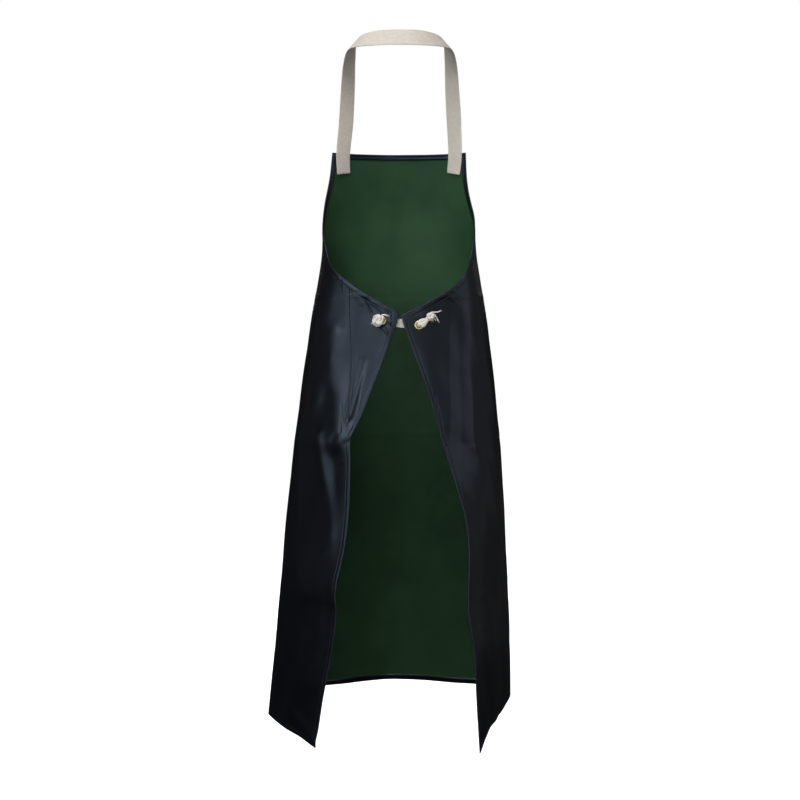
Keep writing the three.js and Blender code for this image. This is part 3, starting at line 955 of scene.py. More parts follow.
@dataclass
class Eyelet:
    """A pressed brass eyelet: a barrel through the sheet with a domed flange on each face."""

    place: Place
    bore: float = 0.0080
    barrel: float = 0.0096
    flange: float = 0.0170
    dome: float = 0.0012
    lift: float = 0.0001
    wall: float = 0.0012
    sides: int = 64
    dome_steps: int = 10

    def parts(self) -> MeshParts:
        """A closed section turned about the eyelet's axis.

        The section runs over the outer dome, a half ellipse, down the bore, over the inner dome
        and back along the underside of both flanges and the barrel between them.

        Returns:
            The mesh.
        """
        half = np.linspace(0, np.pi, self.dome_steps + 1)
        middle = (self.flange + self.bore) / 4
        spread = (self.flange - self.bore) / 4
        dome_r = middle + spread * np.cos(half)
        dome_h = self.lift + self.dome * np.sin(half)
        low = -self.wall - 2 * self.lift
        neck = self.barrel / 2
        radius = np.concatenate([dome_r, dome_r[::-1], [neck, neck]])
        height = np.concatenate([dome_h, low - dome_h[::-1], [low - self.lift, self.lift]])
        turn = 2 * np.pi * np.arange(self.sides) / self.sides
        local = np.stack(
            [
                radius[None] * np.cos(turn)[:, None],
                radius[None] * np.sin(turn)[:, None],
                np.broadcast_to(height[None], (self.sides, len(radius))),
            ],
            axis=-1,
        )
        numbers = np.arange(local.shape[0] * local.shape[1]).reshape(local.shape[:2])
        numbers = np.concatenate([numbers, numbers[:1]])
        numbers = np.concatenate([numbers, numbers[:, :1]], axis=1)
        points = self.place.at(local.reshape(-1, 3))
        return MeshParts(points, [grid_faces(numbers[:, ::-1])], local.reshape(-1, 3)[:, :2])

    def build(self, name: str, node: str, brass: bpy.types.Material) -> bpy.types.Object:
        """Makes the eyelet in place of its CAD node."""
        ring = self.parts().as_object(name, brass)
        return settle(ring, Slot.BRASS, node)


def settle(piece: bpy.types.Object, slot: Slot, *nodes: str) -> bpy.types.Object:
    """Ties a piece to the model: the body it rides on and the nodes it stands for.

    Args:
        piece: The finished piece.
        slot: The record's slot for the piece's finish; not used.
        nodes: The CAD nodes that it replaces.

    Returns:
        The piece.
    """
    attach(piece, BODY)
    if nodes:
        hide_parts(*nodes)
    return piece


# The neck strap's inner face, from the nape to the left bib corner, and the way its outer face looks
STRAP = Table(
    ("x", "y", "z", "facing_x", "facing_y", "facing_z"),
    (
        (0.0, 0.0, 0.0, 0.0, 0.95, 0.31),
        (0.044, -0.010, 0.0, 0.36, 0.84, 0.40),
        (0.074, -0.036, -0.001, 0.62, 0.50, 0.60),
        (0.087, -0.066, -0.005, 0.72, 0.10, 0.68),
        (0.093, -0.095, -0.028, 0.66, -0.38, 0.64),
        (0.097, -0.119, -0.076, 0.52, -0.74, 0.42),
        (0.101, -0.134, -0.135, 0.48, -0.84, 0.24),
    ),
)


@dataclass
class NeckStrap:
    """The woven tape from one bib corner round the nape to the other, sewn inside the bib."""

    sheet: VinylSheet
    width: float = 0.030
    thick: float = 0.0020
    lap_arc: float = 0.113
    lap_levels: tuple[float, float] = (0.196, 0.228)
    lap_gap: float = 0.0002
    thick_waver: float = 0.05
    thick_waves: int = 9
    width_waver: float = 0.008
    width_waves: int = 7
    width_shift: float = 1.0
    steps: int = 300
    sides: int = 48

    def lap(self, side: Side) -> Array:
        """The two stations of a sewn end, inside the bib.

        Args:
            side: The side of the bib.

        Returns:
            Two rows of centre and facing.
        """
        level = np.array(self.lap_levels)
        arc = np.full(2, side.value * self.lap_arc)
        points, outs = self.sheet.face(arc / self.sheet.form.reach(level, arc), level)
        inset = self.sheet.hem_wall + self.lap_gap + self.thick / 2
        return np.concatenate([points - outs * inset, outs], axis=1)

    def stations(self) -> Array:
        """Stations from the right bib corner to the left: the given rows and their mirror.

        Returns:
            Rows of centre, facing, width and thickness.
        """
        rows = np.array(STRAP.rows)
        left = rows.copy()
        left[:, 3:] = unit(rows[:, 3:])
        left[:, :3] += left[:, 3:] * self.thick / 2
        right = left[:0:-1] * (-1, 1, 1, -1, 1, 1)
        line = np.concatenate([self.lap(Side.RIGHT)[::-1], right, left, self.lap(Side.LEFT)])
        sizes = np.broadcast_to([self.width, self.thick], (len(line), 2))
        return np.concatenate([line, sizes], axis=1)

    def build(self, cotton: bpy.types.Material) -> bpy.types.Object:
        """Makes the strap in place of its CAD node, a little uneven by sines along its run.

        Args:
            cotton: The strap's finish.

        Returns:
            The finished piece.
        """
        ribbon = Ribbon.through(self.stations(), self.steps, Section.FLAT, sides=self.sides)
        turns = 2 * np.pi * np.linspace(0, 1, self.steps + 1)
        thicker = self.thick_waver * np.sin(turns * self.thick_waves)
        wider = self.width_waver * np.sin(turns * self.width_waves + self.width_shift)
        ribbon.thicks = ribbon.thicks * (1 + thicker)
        ribbon.widths = ribbon.widths * (1 + wider)
        strap = ribbon.parts().as_object("neck_tape", cotton)
        return settle(strap, Slot.TAPE, "neck_strap")


# The waist tie at an eyelet: in through the sheet, along towards the other eyelet, the degrees
# that the tape's face has turned outwards, and the tape's size there
TIE = Table(
    ("inward", "along", "turn", "width", "thick"),
    (
        (-0.0080, 0.0, 0.0, 0.0050, 0.0050),
        (-0.0015, 0.0, 0.0, 0.0062, 0.0060),
        (0.0026, 0.0, 30.0, 0.0064, 0.0060),
        (0.0054, 0.0032, 60.0, 0.0075, 0.0050),
        (0.0066, 0.0090, 90.0, 0.0115, 0.0030),
        (0.0068, 0.0170, 90.0, 0.0140, 0.0018),
    ),
)

# The right knot's spread tape: along the wing and out from it, with the degrees that the tape's
# face has turned outwards and the tape's size there
BELL = Table(
    ("along", "out", "turn", "width", "thick"),
    (
        (-0.0010, 0.0005, 0.0, 0.0066, 0.0062),
        (0.0, 0.0034, 25.0, 0.0100, 0.0058),
        (0.0022, 0.0052, 60.0, 0.0142, 0.0050),
        (0.0058, 0.0060, 90.0, 0.0158, 0.0046),
        (0.0098, 0.0058, 90.0, 0.0132, 0.0050),
        (0.0135, 0.0054, 90.0, 0.0096, 0.0060),
        (0.0165, 0.0054, 90.0, 0.0080, 0.0066),
        (0.0200, 0.0060, 90.0, 0.0070, 0.0062),
    ),
)


@dataclass(frozen=True)
class Tail:
    """A cut end of the tape that hangs out of a knot, by its way in (aside, up, out)."""

    way: tuple[tuple[float, float, float], ...]
    width: float


LEFT_TAILS = (
    Tail(((0.001, 0.006, 0.008), (-0.004, 0.0095, 0.0085), (-0.012, 0.008, 0.0065)), 0.0027),
    Tail(((0.011, -0.004, 0.008), (0.0145, -0.0055, 0.0075), (0.0162, -0.0062, 0.006)), 0.0030),
)
RIGHT_TAILS = (
    Tail(
        (
            (-0.018, 0.017, 0.008), (-0.0205, 0.0212, 0.0085), (-0.0275, 0.0222, 0.0075),
            (-0.033, 0.0228, 0.0062), (-0.0376, 0.0245, 0.0052),
        ),
        0.0024,
    ),
    Tail(
        (
            (-0.020, 0.016, 0.008), (-0.0252, 0.0188, 0.0078), (-0.030, 0.0135, 0.0062),
            (-0.034, 0.0070, 0.0048),
        ),
        0.0023,
    ),
    Tail(((-0.021, 0.013, 0.008), (-0.0252, 0.0125, 0.0070), (-0.0285, 0.0086, 0.0052)), 0.0022),
    Tail(((-0.020, 0.011, 0.008), (-0.0228, 0.0090, 0.0070), (-0.0232, 0.0072, 0.0058)), 0.0034),
)


@dataclass
class TightKnot:
    """An overhand knot drawn tight, as one tape laid along a trefoil."""

    middle: tuple[float, float, float]
    ring: float
    stray: float
    rise: float
    width: float
    thick: float
    turn: float
    stretch: float = 1.08
    swells: tuple[tuple[float, int, float], ...] = ((0.10, 5, 0.7), (0.06, 11, 0.0))
    steps: int = 220
    sides: int = 36
    pleats: int = 6
    pleat_depth: float = 0.05

    def ribbon(self, place: Place) -> Ribbon:
        """The tape round the trefoil.

        At a turn t the tape lies at ring + stray * cos(3 t) from the knot's axis, at an angle of
        2 t round it and rise * sin(3 t) along it, and faces away from the ring inside the knot.
        The knot is stretched a little up the sheet, and sines swell the tape along its way.

        Args:
            place: The eyelet's place, which the knot's middle is given in.

        Returns:
            A closed ribbon.
        """
        t = 2 * np.pi * np.arange(self.steps) / self.steps
        away = self.ring + self.stray * np.cos(3 * t)
        angle = 2 * t + math.radians(self.turn)
        tall = self.stretch * away
        local = np.stack(
            [away * np.cos(angle), tall * np.sin(angle), self.rise * np.sin(3 * t)], axis=-1
        )
        facing = np.stack(
            [np.cos(3 * t) * np.cos(angle), np.cos(3 * t) * np.sin(angle), np.sin(3 * t)], axis=-1
        )
        axes = np.stack([place.aside, place.up, place.out])
        uneven = 1 + sum(size * np.sin(count * t + shift) for size, count, shift in self.swells)
        return Ribbon(
            place.at(local + np.array(self.middle)),
            facing @ axes,
            self.width * uneven,
            self.thick * uneven[::-1],
            Section.SOFT,
            sides=self.sides,
            pleats=self.pleats,
            pleat_depth=self.pleat_depth,
            closed=True,
        )


LEFT_BALL = TightKnot((0.0052, -0.0008, 0.0079), 0.0050, 0.0034, 0.0042, 0.0078, 0.0044, 62.0)
RIGHT_BALL = TightKnot((-0.0194, 0.0143, 0.0074), 0.0034, 0.0022, 0.0034, 0.0056, 0.0031, 20.0)

# The turn from each loose thread to the next, which keeps any number of them apart
GOLDEN_ANGLE = 2.39996


@dataclass
class WaistTie:
    """The flat tape between the eyelets, and the knots that hold its two ends outside them."""

    left: Place
    right: Place
    rise: float = 34.0
    steps: int = 160
    sides: int = 36
    bell_steps: int = 90
    bell_sides: int = 48
    bell_pleats: int = 9
    bell_pleat_depth: float = 0.045
    tail_steps: int = 24
    tail_sides: int = 14
    tail_pleats: int = 4
    tail_pleat_depth: float = 0.08
    tail_widths: tuple[float, float] = (1.15, 0.9)
    tail_thicks: tuple[float, float] = (0.8, 0.62)
    fray_count: int = 7
    fray_points: int = 5
    fray_sides: int = 5
    fray_length: float = 0.0035
    fray_width: float = 0.00032
    fray_root: float = -0.3
    fray_ring: float = 0.28
    fray_splay: float = 0.45
    fray_lengths: tuple[float, float] = (0.55, 0.45)
    fray_lobes: int = 3
    fray_taper: float = 0.5

    def tape(self) -> Ribbon:
        """The tape from the left knot through both eyelets to the right knot.

        Returns:
            The ribbon through the given rows at both eyelets.
        """
        across = unit(self.right.point - self.left.point)
        rows = np.array(TIE.rows)
        halves = []
        for place, toward in ((self.left, 1.0), (self.right, -1.0)):
            inward, along, turn = rows[:, 0:1], rows[:, 1:2], np.radians(rows[:, 2:3])
            centres = place.point - place.out * inward + across * along * toward
            facings = place.out * np.sin(turn) + across * np.cos(turn) * toward
            halves.append(np.concatenate([centres, facings, rows[:, 3:]], axis=1))
        given = np.concatenate([halves[0], halves[1][::-1]])
        return Ribbon.through(given, self.steps, Section.SOFT, sides=self.sides)

    def bell(self) -> Ribbon:
        """The spread tape that leaves the right eyelet and narrows into its knot.

        Returns:
            The ribbon through the given rows, along the way that the knot rises.
        """
        rows = np.array(BELL.rows)
        slope = math.radians(self.rise)
        ahead = -self.right.aside * math.cos(slope) + self.right.up * math.sin(slope)
        turn = np.radians(rows[:, 2:3])
        centres = self.right.point + ahead * rows[:, 0:1] + self.right.out * rows[:, 1:2]
        facings = self.right.out * np.sin(turn) - ahead * np.cos(turn)
        given = np.concatenate([centres, facings, rows[:, 3:]], axis=1)
        return Ribbon.through(
            given,
            self.bell_steps,
            Section.SOFT,
            sides=self.bell_sides,
            pleats=self.bell_pleats,
            pleat_depth=self.bell_pleat_depth,
        )

    def tail(self, place: Place, tail: Tail) -> MeshParts:
        """A tail and the loose threads at its cut end.

        Each thread leaves the end along the tail's last direction, spread round it by the golden
        angle, so that no two lie together. Its length varies with the cosine of that turn.

        Args:
            place: The eyelet's place, which the tail's way is given in.
            tail: The tail's way and width.

        Returns:
            The tail and its threads as one mesh.
        """
        way = place.at(np.array(tail.way))
        count = len(way)
        facing = np.broadcast_to(place.out, (count, 3))
        ends = (self.tail_widths, self.tail_thicks)
        size = np.stack([np.linspace(first, last, count) for first, last in ends], axis=1)
        given = np.concatenate([way, facing, size * tail.width], axis=1)
        ribbon = Ribbon.through(
            given,
            self.tail_steps,
            Section.SOFT,
            sides=self.tail_sides,
            pleats=self.tail_pleats,
            pleat_depth=self.tail_pleat_depth,
        )
        joined = ribbon.parts()
        ahead = unit(ribbon.centres[-1] - ribbon.centres[-2])
        beside = unit(np.cross(ahead, place.out))
        over = np.cross(beside, ahead)
        reach = np.linspace(self.fray_root, 1, self.fray_points)[:, None]
        narrow = self.fray_width * np.linspace(1, self.fray_taper, self.fray_points)
        facing = np.broadcast_to(over, (self.fray_points, 3))
        least, more = self.fray_lengths
        for k in range(self.fray_count):
            angle = k * GOLDEN_ANGLE
            spread = beside * math.cos(angle) + over * math.sin(angle)
            start = ribbon.centres[-1] + spread * tail.width * self.fray_ring
            length = self.fray_length * (least + more * math.cos(self.fray_lobes * angle) ** 2)
            splay = spread * self.fray_splay * np.clip(reach, 0, 1)
            line = start + (ahead + splay) * reach * length
            thread = Ribbon(line, facing, narrow, narrow, Section.ROUND, sides=self.fray_sides)
            joined = joined.joined(thread.parts())
        return joined

    def build(self, cotton: bpy.types.Material) -> list[bpy.types.Object]:
        """Args:
            cotton: The finish of all three.

        Returns:
            The tape, the left knot and the right knot.
        """
        ribbon = self.tape()
        tape = settle(ribbon.parts().as_object("waist_tape", cotton), Slot.TAPE, "waist_tie")
        left = LEFT_BALL.ribbon(self.left).parts()
        for tail in LEFT_TAILS:
            left = left.joined(self.tail(self.left, tail))
        right = RIGHT_BALL.ribbon(self.right).parts().joined(self.bell().parts())
        for tail in RIGHT_TAILS:
            right = right.joined(self.tail(self.right, tail))
        knots = []
        for name, node, parts in (
            ("left_knot", "tie_knot_left", left),
            ("right_knot", "tie_knot_right", right),
        ):
            knots.append(settle(parts.as_object(name, cotton), Slot.TAPE, node))
        return [tape, *knots]


@dataclass
class Stitching:
    """Stitches of thread laid end to end along lines on a face, joined into one mesh."""

    pitch: float = 0.0034
    length: float = 0.0027
    width: float = 0.0006
    height: float = 0.00045
    rings: int = 4
    sides: int = 6

    def capsule(self) -> tuple[Array, list[Array]]:
        """One stitch about the origin: an ellipsoid along X, of a few faces.

        Returns:
            Its points, and its faces by size.
        """
        tilt = np.pi * (np.arange(self.rings) + 1) / (self.rings + 1)
        turn = 2 * np.pi * np.arange(self.sides) / self.sides
        rings = np.stack(
            np.broadcast_arrays(
                -np.cos(tilt)[:, None] * self.length / 2,
                np.sin(tilt)[:, None] * np.cos(turn) * self.width / 2,
                np.sin(tilt)[:, None] * np.sin(turn) * self.height / 2,
            ),
            axis=-1,
        )
        poles = np.array([[-self.length / 2, 0, 0], [self.length / 2, 0, 0]])
        numbers = np.arange(self.rings * self.sides).reshape(self.rings, self.sides)
        numbers = np.concatenate([numbers, numbers[:, :1]], axis=1)
        first, last = self.rings * self.sides + np.arange(2)
        fans = np.concatenate(
            [
                np.stack([np.full(self.sides, first), numbers[0, 1:], numbers[0, :-1]], axis=-1),
                np.stack([np.full(self.sides, last), numbers[-1, :-1], numbers[-1, 1:]], axis=-1),
            ]
        )
        return np.concatenate([rings.reshape(-1, 3), poles]), [grid_faces(numbers)[:, ::-1], fans]

    def along(self, line: Array, outs: Array) -> MeshParts:
        """Stitches along a line of points.

        Args:
            line: Points close together along the line.
            outs: The face's outward direction at each.

        Returns:
            All the stitches as one mesh.
        """
        gaps = np.linalg.norm(np.diff(line, axis=0), axis=1)
        run = np.concatenate([[0.0], np.cumsum(gaps)])
        count = max(1, int(run[-1] / self.pitch))
        at = (np.arange(count) + 0.5) * run[-1] / count
        ahead = np.gradient(line, axis=0)

        def spread(values: Array) -> Array:
            """Reads values along the line at each stitch."""
            return np.stack([np.interp(at, run, values[:, k]) for k in range(3)], axis=-1)

        forward, out = unit(spread(ahead)), unit(spread(outs))
        beside = unit(np.cross(out, forward))
        axes = np.stack([forward, beside, np.cross(forward, beside)], axis=1)
        shape, faces = self.capsule()
        points = spread(line)[:, None] + np.einsum("vk,nkc->nvc", shape, axes)
        starts = (np.arange(count) * len(shape))[:, None, None]
        uvs = np.stack(np.broadcast_arrays(shape[:, 1], shape[:, 0] + at[:, None]), axis=-1)
        return MeshParts(
            points.reshape(-1, 3),
            [(f[None] + starts).reshape(-1, f.shape[1]) for f in faces],
            uvs.reshape(-1, 2),
        )


@dataclass
class HemStitches:
    """The thread that holds the hems, on both faces, and the thread that holds the strap's ends."""

    sheet: VinylSheet
    strap: NeckStrap
    stitching: Stitching = field(default_factory=Stitching)
    spacing: float = 0.0015
    across_steps: int = 600
    box_half_width: float = 0.011
    box_levels: tuple[float, float] = (0.2005, 0.2245)
    box_steps: int = 30

    def hem_lines(self) -> list[tuple[Array, Array]]:
        """Shares and rows along the stitches of each of the four edges.

        Returns:
            A (share, row) pair of arrays for each edge.
        """
        form, inset = self.sheet.form, self.sheet.stitch_inset
        top, bottom = form.bib_top + inset, form.front_hem - inset
        row = np.linspace(top, bottom, round((bottom - top) / self.spacing))
        left, right = (
            side.value * (1 - inset * self.sheet.slant(row, side.value) / form.reach(row, side.value))
            for side in (Side.LEFT, Side.RIGHT)
        )
        lines = [(left, row), (right, row)]
        for end in (0, -1):
            across = np.linspace(right[end], left[end], self.across_steps)
            lines.append((across, np.full(across.shape, row[end])))
        return lines

    def box_lines(self, side: Side) -> list[tuple[Array, Array]]:
        """Shares and rows along the square and the cross that hold an end of the strap.

        Args:
            side: The side of the bib.

        Returns:
            A (share, row) pair of arrays for each line.
        """
        middle = side.value * self.strap.lap_arc
        low, high = middle - self.box_half_width, middle + self.box_half_width
        top, bottom = self.box_levels
        corners = ((low, top), (high, top), (high, bottom), (low, bottom), (low, top))
        diagonals = ((low, top), (high, bottom)), ((high, top), (low, bottom))
        t = np.linspace(0, 1, self.box_steps)
        lines = []
        for start, end in [*zip(corners, corners[1:]), *diagonals]:
            arc = start[0] + (end[0] - start[0]) * t
            row = start[1] + (end[1] - start[1]) * t
            lines.append((arc / self.sheet.form.reach(row, arc), row))
        return lines

    def laid(self, lines: list[tuple[Array, Array]], depth: float) -> MeshParts:
        """Stitches along lines on the sheet, at a depth under its outer face.

        Args:
            lines: A (share, row) pair of arrays for each line.
            depth: How far under the outer face the stitches lie.

        Returns:
            All the stitches as one mesh.
        """
        parts = []
        for share, row in lines:
            points, outs = self.sheet.face(share, row)
            parts.append(self.stitching.along(points - outs * depth, outs))
        joined = parts[0]
        for other in parts[1:]:
            joined = joined.joined(other)
        return joined

    def build(self, dark: bpy.types.Material, pale: bpy.types.Material) -> list[bpy.types.Object]:
        """Makes the dark thread on the vinyl and the pale thread on the strap's ends.

        Args:
            dark: The finish of the thread on the vinyl.
            pale: The finish of the thread on the strap.

        Returns:
            The two pieces.
        """
        boxes = [*self.box_lines(Side.LEFT), *self.box_lines(Side.RIGHT)]
        hems = self.hem_lines()
        hem = self.laid(hems, 0.0).joined(self.laid(hems, self.sheet.hem_wall))
        hem = hem.joined(self.laid(boxes, 0.0))
        back = self.sheet.hem_wall + self.strap.lap_gap + self.strap.thick
        thread = settle(hem.as_object("hem_stitches", dark), Slot.VINYL)
        ends = settle(self.laid(boxes, back).as_object("strap_stitches", pale), Slot.TAPE)
        return [thread, ends]


# The scale at which a wave texture has one band to each unit of length
BAND_SCALE = math.pi / 10

# The range that most of a noise's values lie in
NOISE_RANGE = (0.3, 0.7)

# The places of a mix node's two inputs and its output, for colours and for numbers
MIX_COLOURS = (6, 7)
MIX_COLOUR_OUT = 2
MIX_NUMBERS = (2, 3)
MIX_NUMBER_OUT = 0


@dataclass(frozen=True)
class Grain:
    """Noise in a finish: its scale and detail, and the depth and strength of a bump from it."""

    scale: float
    detail: float
    depth: float = 0.0
    strength: float = 0.0


class Recipe:
    """A material in the making: its principled shader and the nodes that feed it."""

    def __init__(self, name: str) -> None:
        """Starts a material with a bare shader.

        Args:
            name: The material's name.
        """
        self.material = bpy.data.materials.new(name)
        self.material.use_nodes = True
        self.tree = self.material.node_tree
        self.shader = self.tree.nodes["Principled BSDF"]

    def node(self, kind: str, **settings: object) -> bpy.types.Node:
        """Adds a node.

        Args:
            kind: The node's type.
            settings: Values that set the inputs of those names, or else the node's options.

        Returns:
            The node.
        """
        node = self.tree.nodes.new(kind)
        for key, value in settings.items():
            if key in node.inputs:
                node.inputs[key].default_value = value
            else:
                setattr(node, key, value)
        return node

    def link(self, source: bpy.types.NodeSocket, target: bpy.types.NodeSocket) -> None:
        """Joins an output to an input."""
        self.tree.links.new(source, target)

    def fixed(self, **values: object) -> None:
        """Sets the shader's own sockets, named with underscores for spaces."""
        for key, value in values.items():
            self.shader.inputs[key.replace("_", " ")].default_value = value

    def noise(self, coords: bpy.types.NodeSocket, grain: Grain) -> bpy.types.NodeSocket:
        """Reads noise at the coordinates given.

        Args:
            coords: The coordinates.
            grain: The noise's scale and detail.

        Returns:
            The noise, from 0 to 1.
        """
        noise = self.node("ShaderNodeTexNoise", Scale=grain.scale, Detail=grain.detail)
        self.link(coords, noise.inputs["Vector"])
        return noise.outputs["Fac"]

    def ranged(
        self, value: bpy.types.NodeSocket, low: float = 0.0, high: float = 1.0
    ) -> bpy.types.NodeSocket:
        """Spreads the middle of a noise's values over a range.

        Args:
            value: The noise.
            low: The range's lower end.
            high: Its upper end.

        Returns:
            The noise over that range.
        """
        ranged = self.node("ShaderNodeMapRange")
        ends = dict(zip(("From Min", "From Max", "To Min", "To Max"), (*NOISE_RANGE, low, high)))
        for key, number in ends.items():
            ranged.inputs[key].default_value = number
        self.link(value, ranged.inputs["Value"])
        return ranged.outputs["Result"]

    def mixed(self, share: bpy.types.NodeSocket, first: Colour, second: Colour) -> bpy.types.NodeSocket:
        """Blends two colours.

        Args:
            share: How much of the second there is, from 0 to 1.
            first: A fixed colour or another node's output.
            second: The same for the other colour.

        Returns:
            The blended colour.
        """
        mix = self.node("ShaderNodeMix", data_type="RGBA")
        self.link(share, mix.inputs["Factor"])
        for place, colour in zip(MIX_COLOURS, (first, second)):
            if isinstance(colour, bpy.types.NodeSocket):
                self.link(colour, mix.inputs[place])
            else:
                mix.inputs[place].default_value = (*colour, 1.0)
        return mix.outputs[MIX_COLOUR_OUT]

    def bump(
        self, height: bpy.types.NodeSocket, distance: float = 1.0, strength: float = 1.0
    ) -> None:
        """Roughens the shader's normal by a height, after any bump that is already there.

        Args:
            height: The height, in metres where the distance is 1.
            distance: What the height is multiplied by.
            strength: How much of the bump shows, from 0 to 1.
        """
        bump = self.node("ShaderNodeBump", Distance=distance, Strength=strength)
        self.link(height, bump.inputs["Height"])
        before = self.shader.inputs["Normal"].links
        if before:
            self.link(before[0].from_socket, bump.inputs["Normal"])
        self.link(bump.outputs["Normal"], self.shader.inputs["Normal"])

    def rough(self, coords: bpy.types.NodeSocket, grain: Grain) -> None:
        """Roughens the shader's normal by noise."""
        self.bump(self.noise(coords, grain), grain.depth, grain.strength)

    def maths(self, kind: str, operation: str, *inputs: object) -> bpy.types.Node:
        """Adds a number or vector sum.

        Args:
            kind: The node's type.
            operation: The sum.
            inputs: Other nodes' outputs or fixed values, in order.

        Returns:
            The node.
        """
        node = self.node(kind, operation=operation)
        for socket, value in zip(node.inputs, inputs):
            if isinstance(value, bpy.types.NodeSocket):
                self.link(value, socket)
            else:
                socket.default_value = value
        return node

    def crease(self, coords: bpy.types.NodeSocket, line: dict[str, float]) -> bpy.types.NodeSocket:
        """The height of one fine crease on the sheet's UV map.

        The nearest point of the line is the start plus a share of the run, held between 0 and 1.
        The height falls smoothly from the line's own to nothing at the half width.

        Args:
            coords: The sheet's UV map: the arc, and the level taken as negative.
            line: The crease's places, heights and half width.

        Returns:
            The height, in metres.
        """
        vector = "ShaderNodeVectorMath"
        start = (line["from_arc"], -line["from_level"], 0.0)
        run = Vector((line["to_arc"], -line["to_level"], 0.0)) - Vector(start)
        here = self.maths(vector, "SUBTRACT", coords, start).outputs["Vector"]
        along = self.maths(vector, "DOT_PRODUCT", here, run / run.length_squared).outputs["Value"]
        share = self.node("ShaderNodeClamp")
        self.link(along, share.inputs["Value"])
        nearest = self.node(vector, operation="SCALE")
        nearest.inputs["Vector"].default_value = run
        self.link(share.outputs["Result"], nearest.inputs["Scale"])
        off = self.maths(vector, "SUBTRACT", here, nearest.outputs["Vector"]).outputs["Vector"]
        away = self.maths(vector, "LENGTH", off).outputs["Value"]
        crest = self.node("ShaderNodeMapRange")
        crest.inputs["To Min"].default_value = line["from_height"]
        crest.inputs["To Max"].default_value = line["to_height"]
        self.link(share.outputs["Result"], crest.inputs["Value"])
        fall = self.node("ShaderNodeMapRange", interpolation_type="SMOOTHERSTEP")
        fall.inputs["From Max"].default_value = line["half_width"]
        fall.inputs["To Max"].default_value = 0.0
        self.link(away, fall.inputs["Value"])
        self.link(crest.outputs["Result"], fall.inputs["To Min"])
        return fall.outputs["Result"]

    def weave(self, thread: float) -> bpy.types.NodeSocket:
        """A plain weave on the piece's own UV map, whose threads are this far apart.

        Where a checker is dark the thread across the tape lies on top, and elsewhere the one
        along it does. Each thread is a rounded band.

        Args:
            thread: The spacing of the threads.

        Returns:
            The weave's height, from 0 to 1.
        """
        coords = self.node("ShaderNodeTexCoord")
        spread = self.node("ShaderNodeMapping", Scale=(1 / thread, 1 / thread, 1.0))
        self.link(coords.outputs["UV"], spread.inputs["Vector"])
        bands = []
        for direction in ("X", "Y"):
            band = self.node("ShaderNodeTexWave", bands_direction=direction, Scale=BAND_SCALE)
            self.link(spread.outputs["Vector"], band.inputs["Vector"])
            bands.append(band.outputs["Fac"])
        checker = self.node("ShaderNodeTexChecker", Scale=1.0)
        self.link(spread.outputs["Vector"], checker.inputs["Vector"])
        mix = self.node("ShaderNodeMix", data_type="FLOAT")
        self.link(checker.outputs["Fac"], mix.inputs["Factor"])
        for place, band in zip(MIX_NUMBERS, bands):
            self.link(band, mix.inputs[place])
        return mix.outputs[MIX_NUMBER_OUT]


@dataclass(frozen=True)
class VinylFinish:
    """Satin coated vinyl: near-black navy, with a fine grain and paler edges, partly rubbed wear and
    partly a painted highlight along the edge.
    """

    name: str = "navy_vinyl"
    dark: tuple[float, float, float] = (0.0020, 0.0024, 0.0036)
    light: tuple[float, float, float] = (0.0030, 0.0035, 0.0050)
    # The edges' paler colour: partly rubbed wear, partly a painted highlight along the edge
    rubbed_and_highlit: tuple[float, float, float] = (0.014, 0.016, 0.022)
    roughness: tuple[float, float] = (0.27, 0.36)
    specular: float = 0.42
    sheen_tint: tuple[float, float, float] = (0.65, 0.79, 1.0)
    drift: Grain = Grain(11.0, 4.0)
    haze: Grain = Grain(34.0, 5.0)
    dents: Grain = Grain(60.0, 3.0, 0.0012, 0.10)
    grain: Grain = Grain(1300.0, 2.0, 0.0002, 0.22)

    def material(self) -> bpy.types.Material:
        """Builds the finish on Object coordinates, the sheet's UV map and its edge attribute, which
        paints the edges paler, partly as rubbed wear and partly as a painted highlight.

        Returns:
            The material.
        """
        recipe = Recipe(self.name)
        places = recipe.node("ShaderNodeTexCoord")
        coords = places.outputs["Object"]
        drift = recipe.ranged(recipe.noise(coords, self.drift))
        rub_and_highlight = recipe.node("ShaderNodeAttribute", attribute_name="rub_and_highlight").outputs["Fac"]
        base = recipe.mixed(drift, self.dark, self.light)
        # Paler at the edges: partly rubbed wear, partly a painted highlight along the hem's edge
        recipe.link(recipe.mixed(rub_and_highlight, base, self.rubbed_and_highlit), recipe.shader.inputs["Base Color"])
        haze = recipe.ranged(recipe.noise(coords, self.haze), *self.roughness)
        recipe.link(haze, recipe.shader.inputs["Roughness"])
        recipe.fixed(Specular_IOR_Level=self.specular, Specular_Tint=(*self.sheen_tint, 1.0))
        heights = [recipe.crease(places.outputs["UV"], line) for line in CREASES.named()]
        creased = heights[0]
        for height in heights[1:]:
            creased = recipe.maths("ShaderNodeMath", "ADD", creased, height).outputs["Value"]
        recipe.bump(creased)
        recipe.rough(coords, self.dents)
        recipe.rough(coords, self.grain)
        return recipe.material


@dataclass(frozen=True)
class BackingFinish:
    """The sheet's inner face: dark green backing cloth."""

    name: str = "green_backing"
    dark: tuple[float, float, float] = (0.0142, 0.050, 0.0190)
    light: tuple[float, float, float] = (0.0203, 0.068, 0.0255)
    roughness: float = 0.72
    specular: float = 0.3
    thread: float = 0.0011
    drift: Grain = Grain(16.0, 5.0)
    weave_bump: tuple[float, float] = (0.00025, 0.5)

    def material(self) -> bpy.types.Material:
        """Builds the finish on Object coordinates, with its weave on the UV map.

        Returns:
            The material.
        """
        recipe = Recipe(self.name)
        coords = recipe.node("ShaderNodeTexCoord").outputs["Object"]
        drift = recipe.ranged(recipe.noise(coords, self.drift))
        base = recipe.mixed(drift, self.dark, self.light)
        recipe.link(base, recipe.shader.inputs["Base Color"])
        recipe.fixed(Roughness=self.roughness, Specular_IOR_Level=self.specular)
        recipe.bump(recipe.weave(self.thread), *self.weave_bump)
        return recipe.material


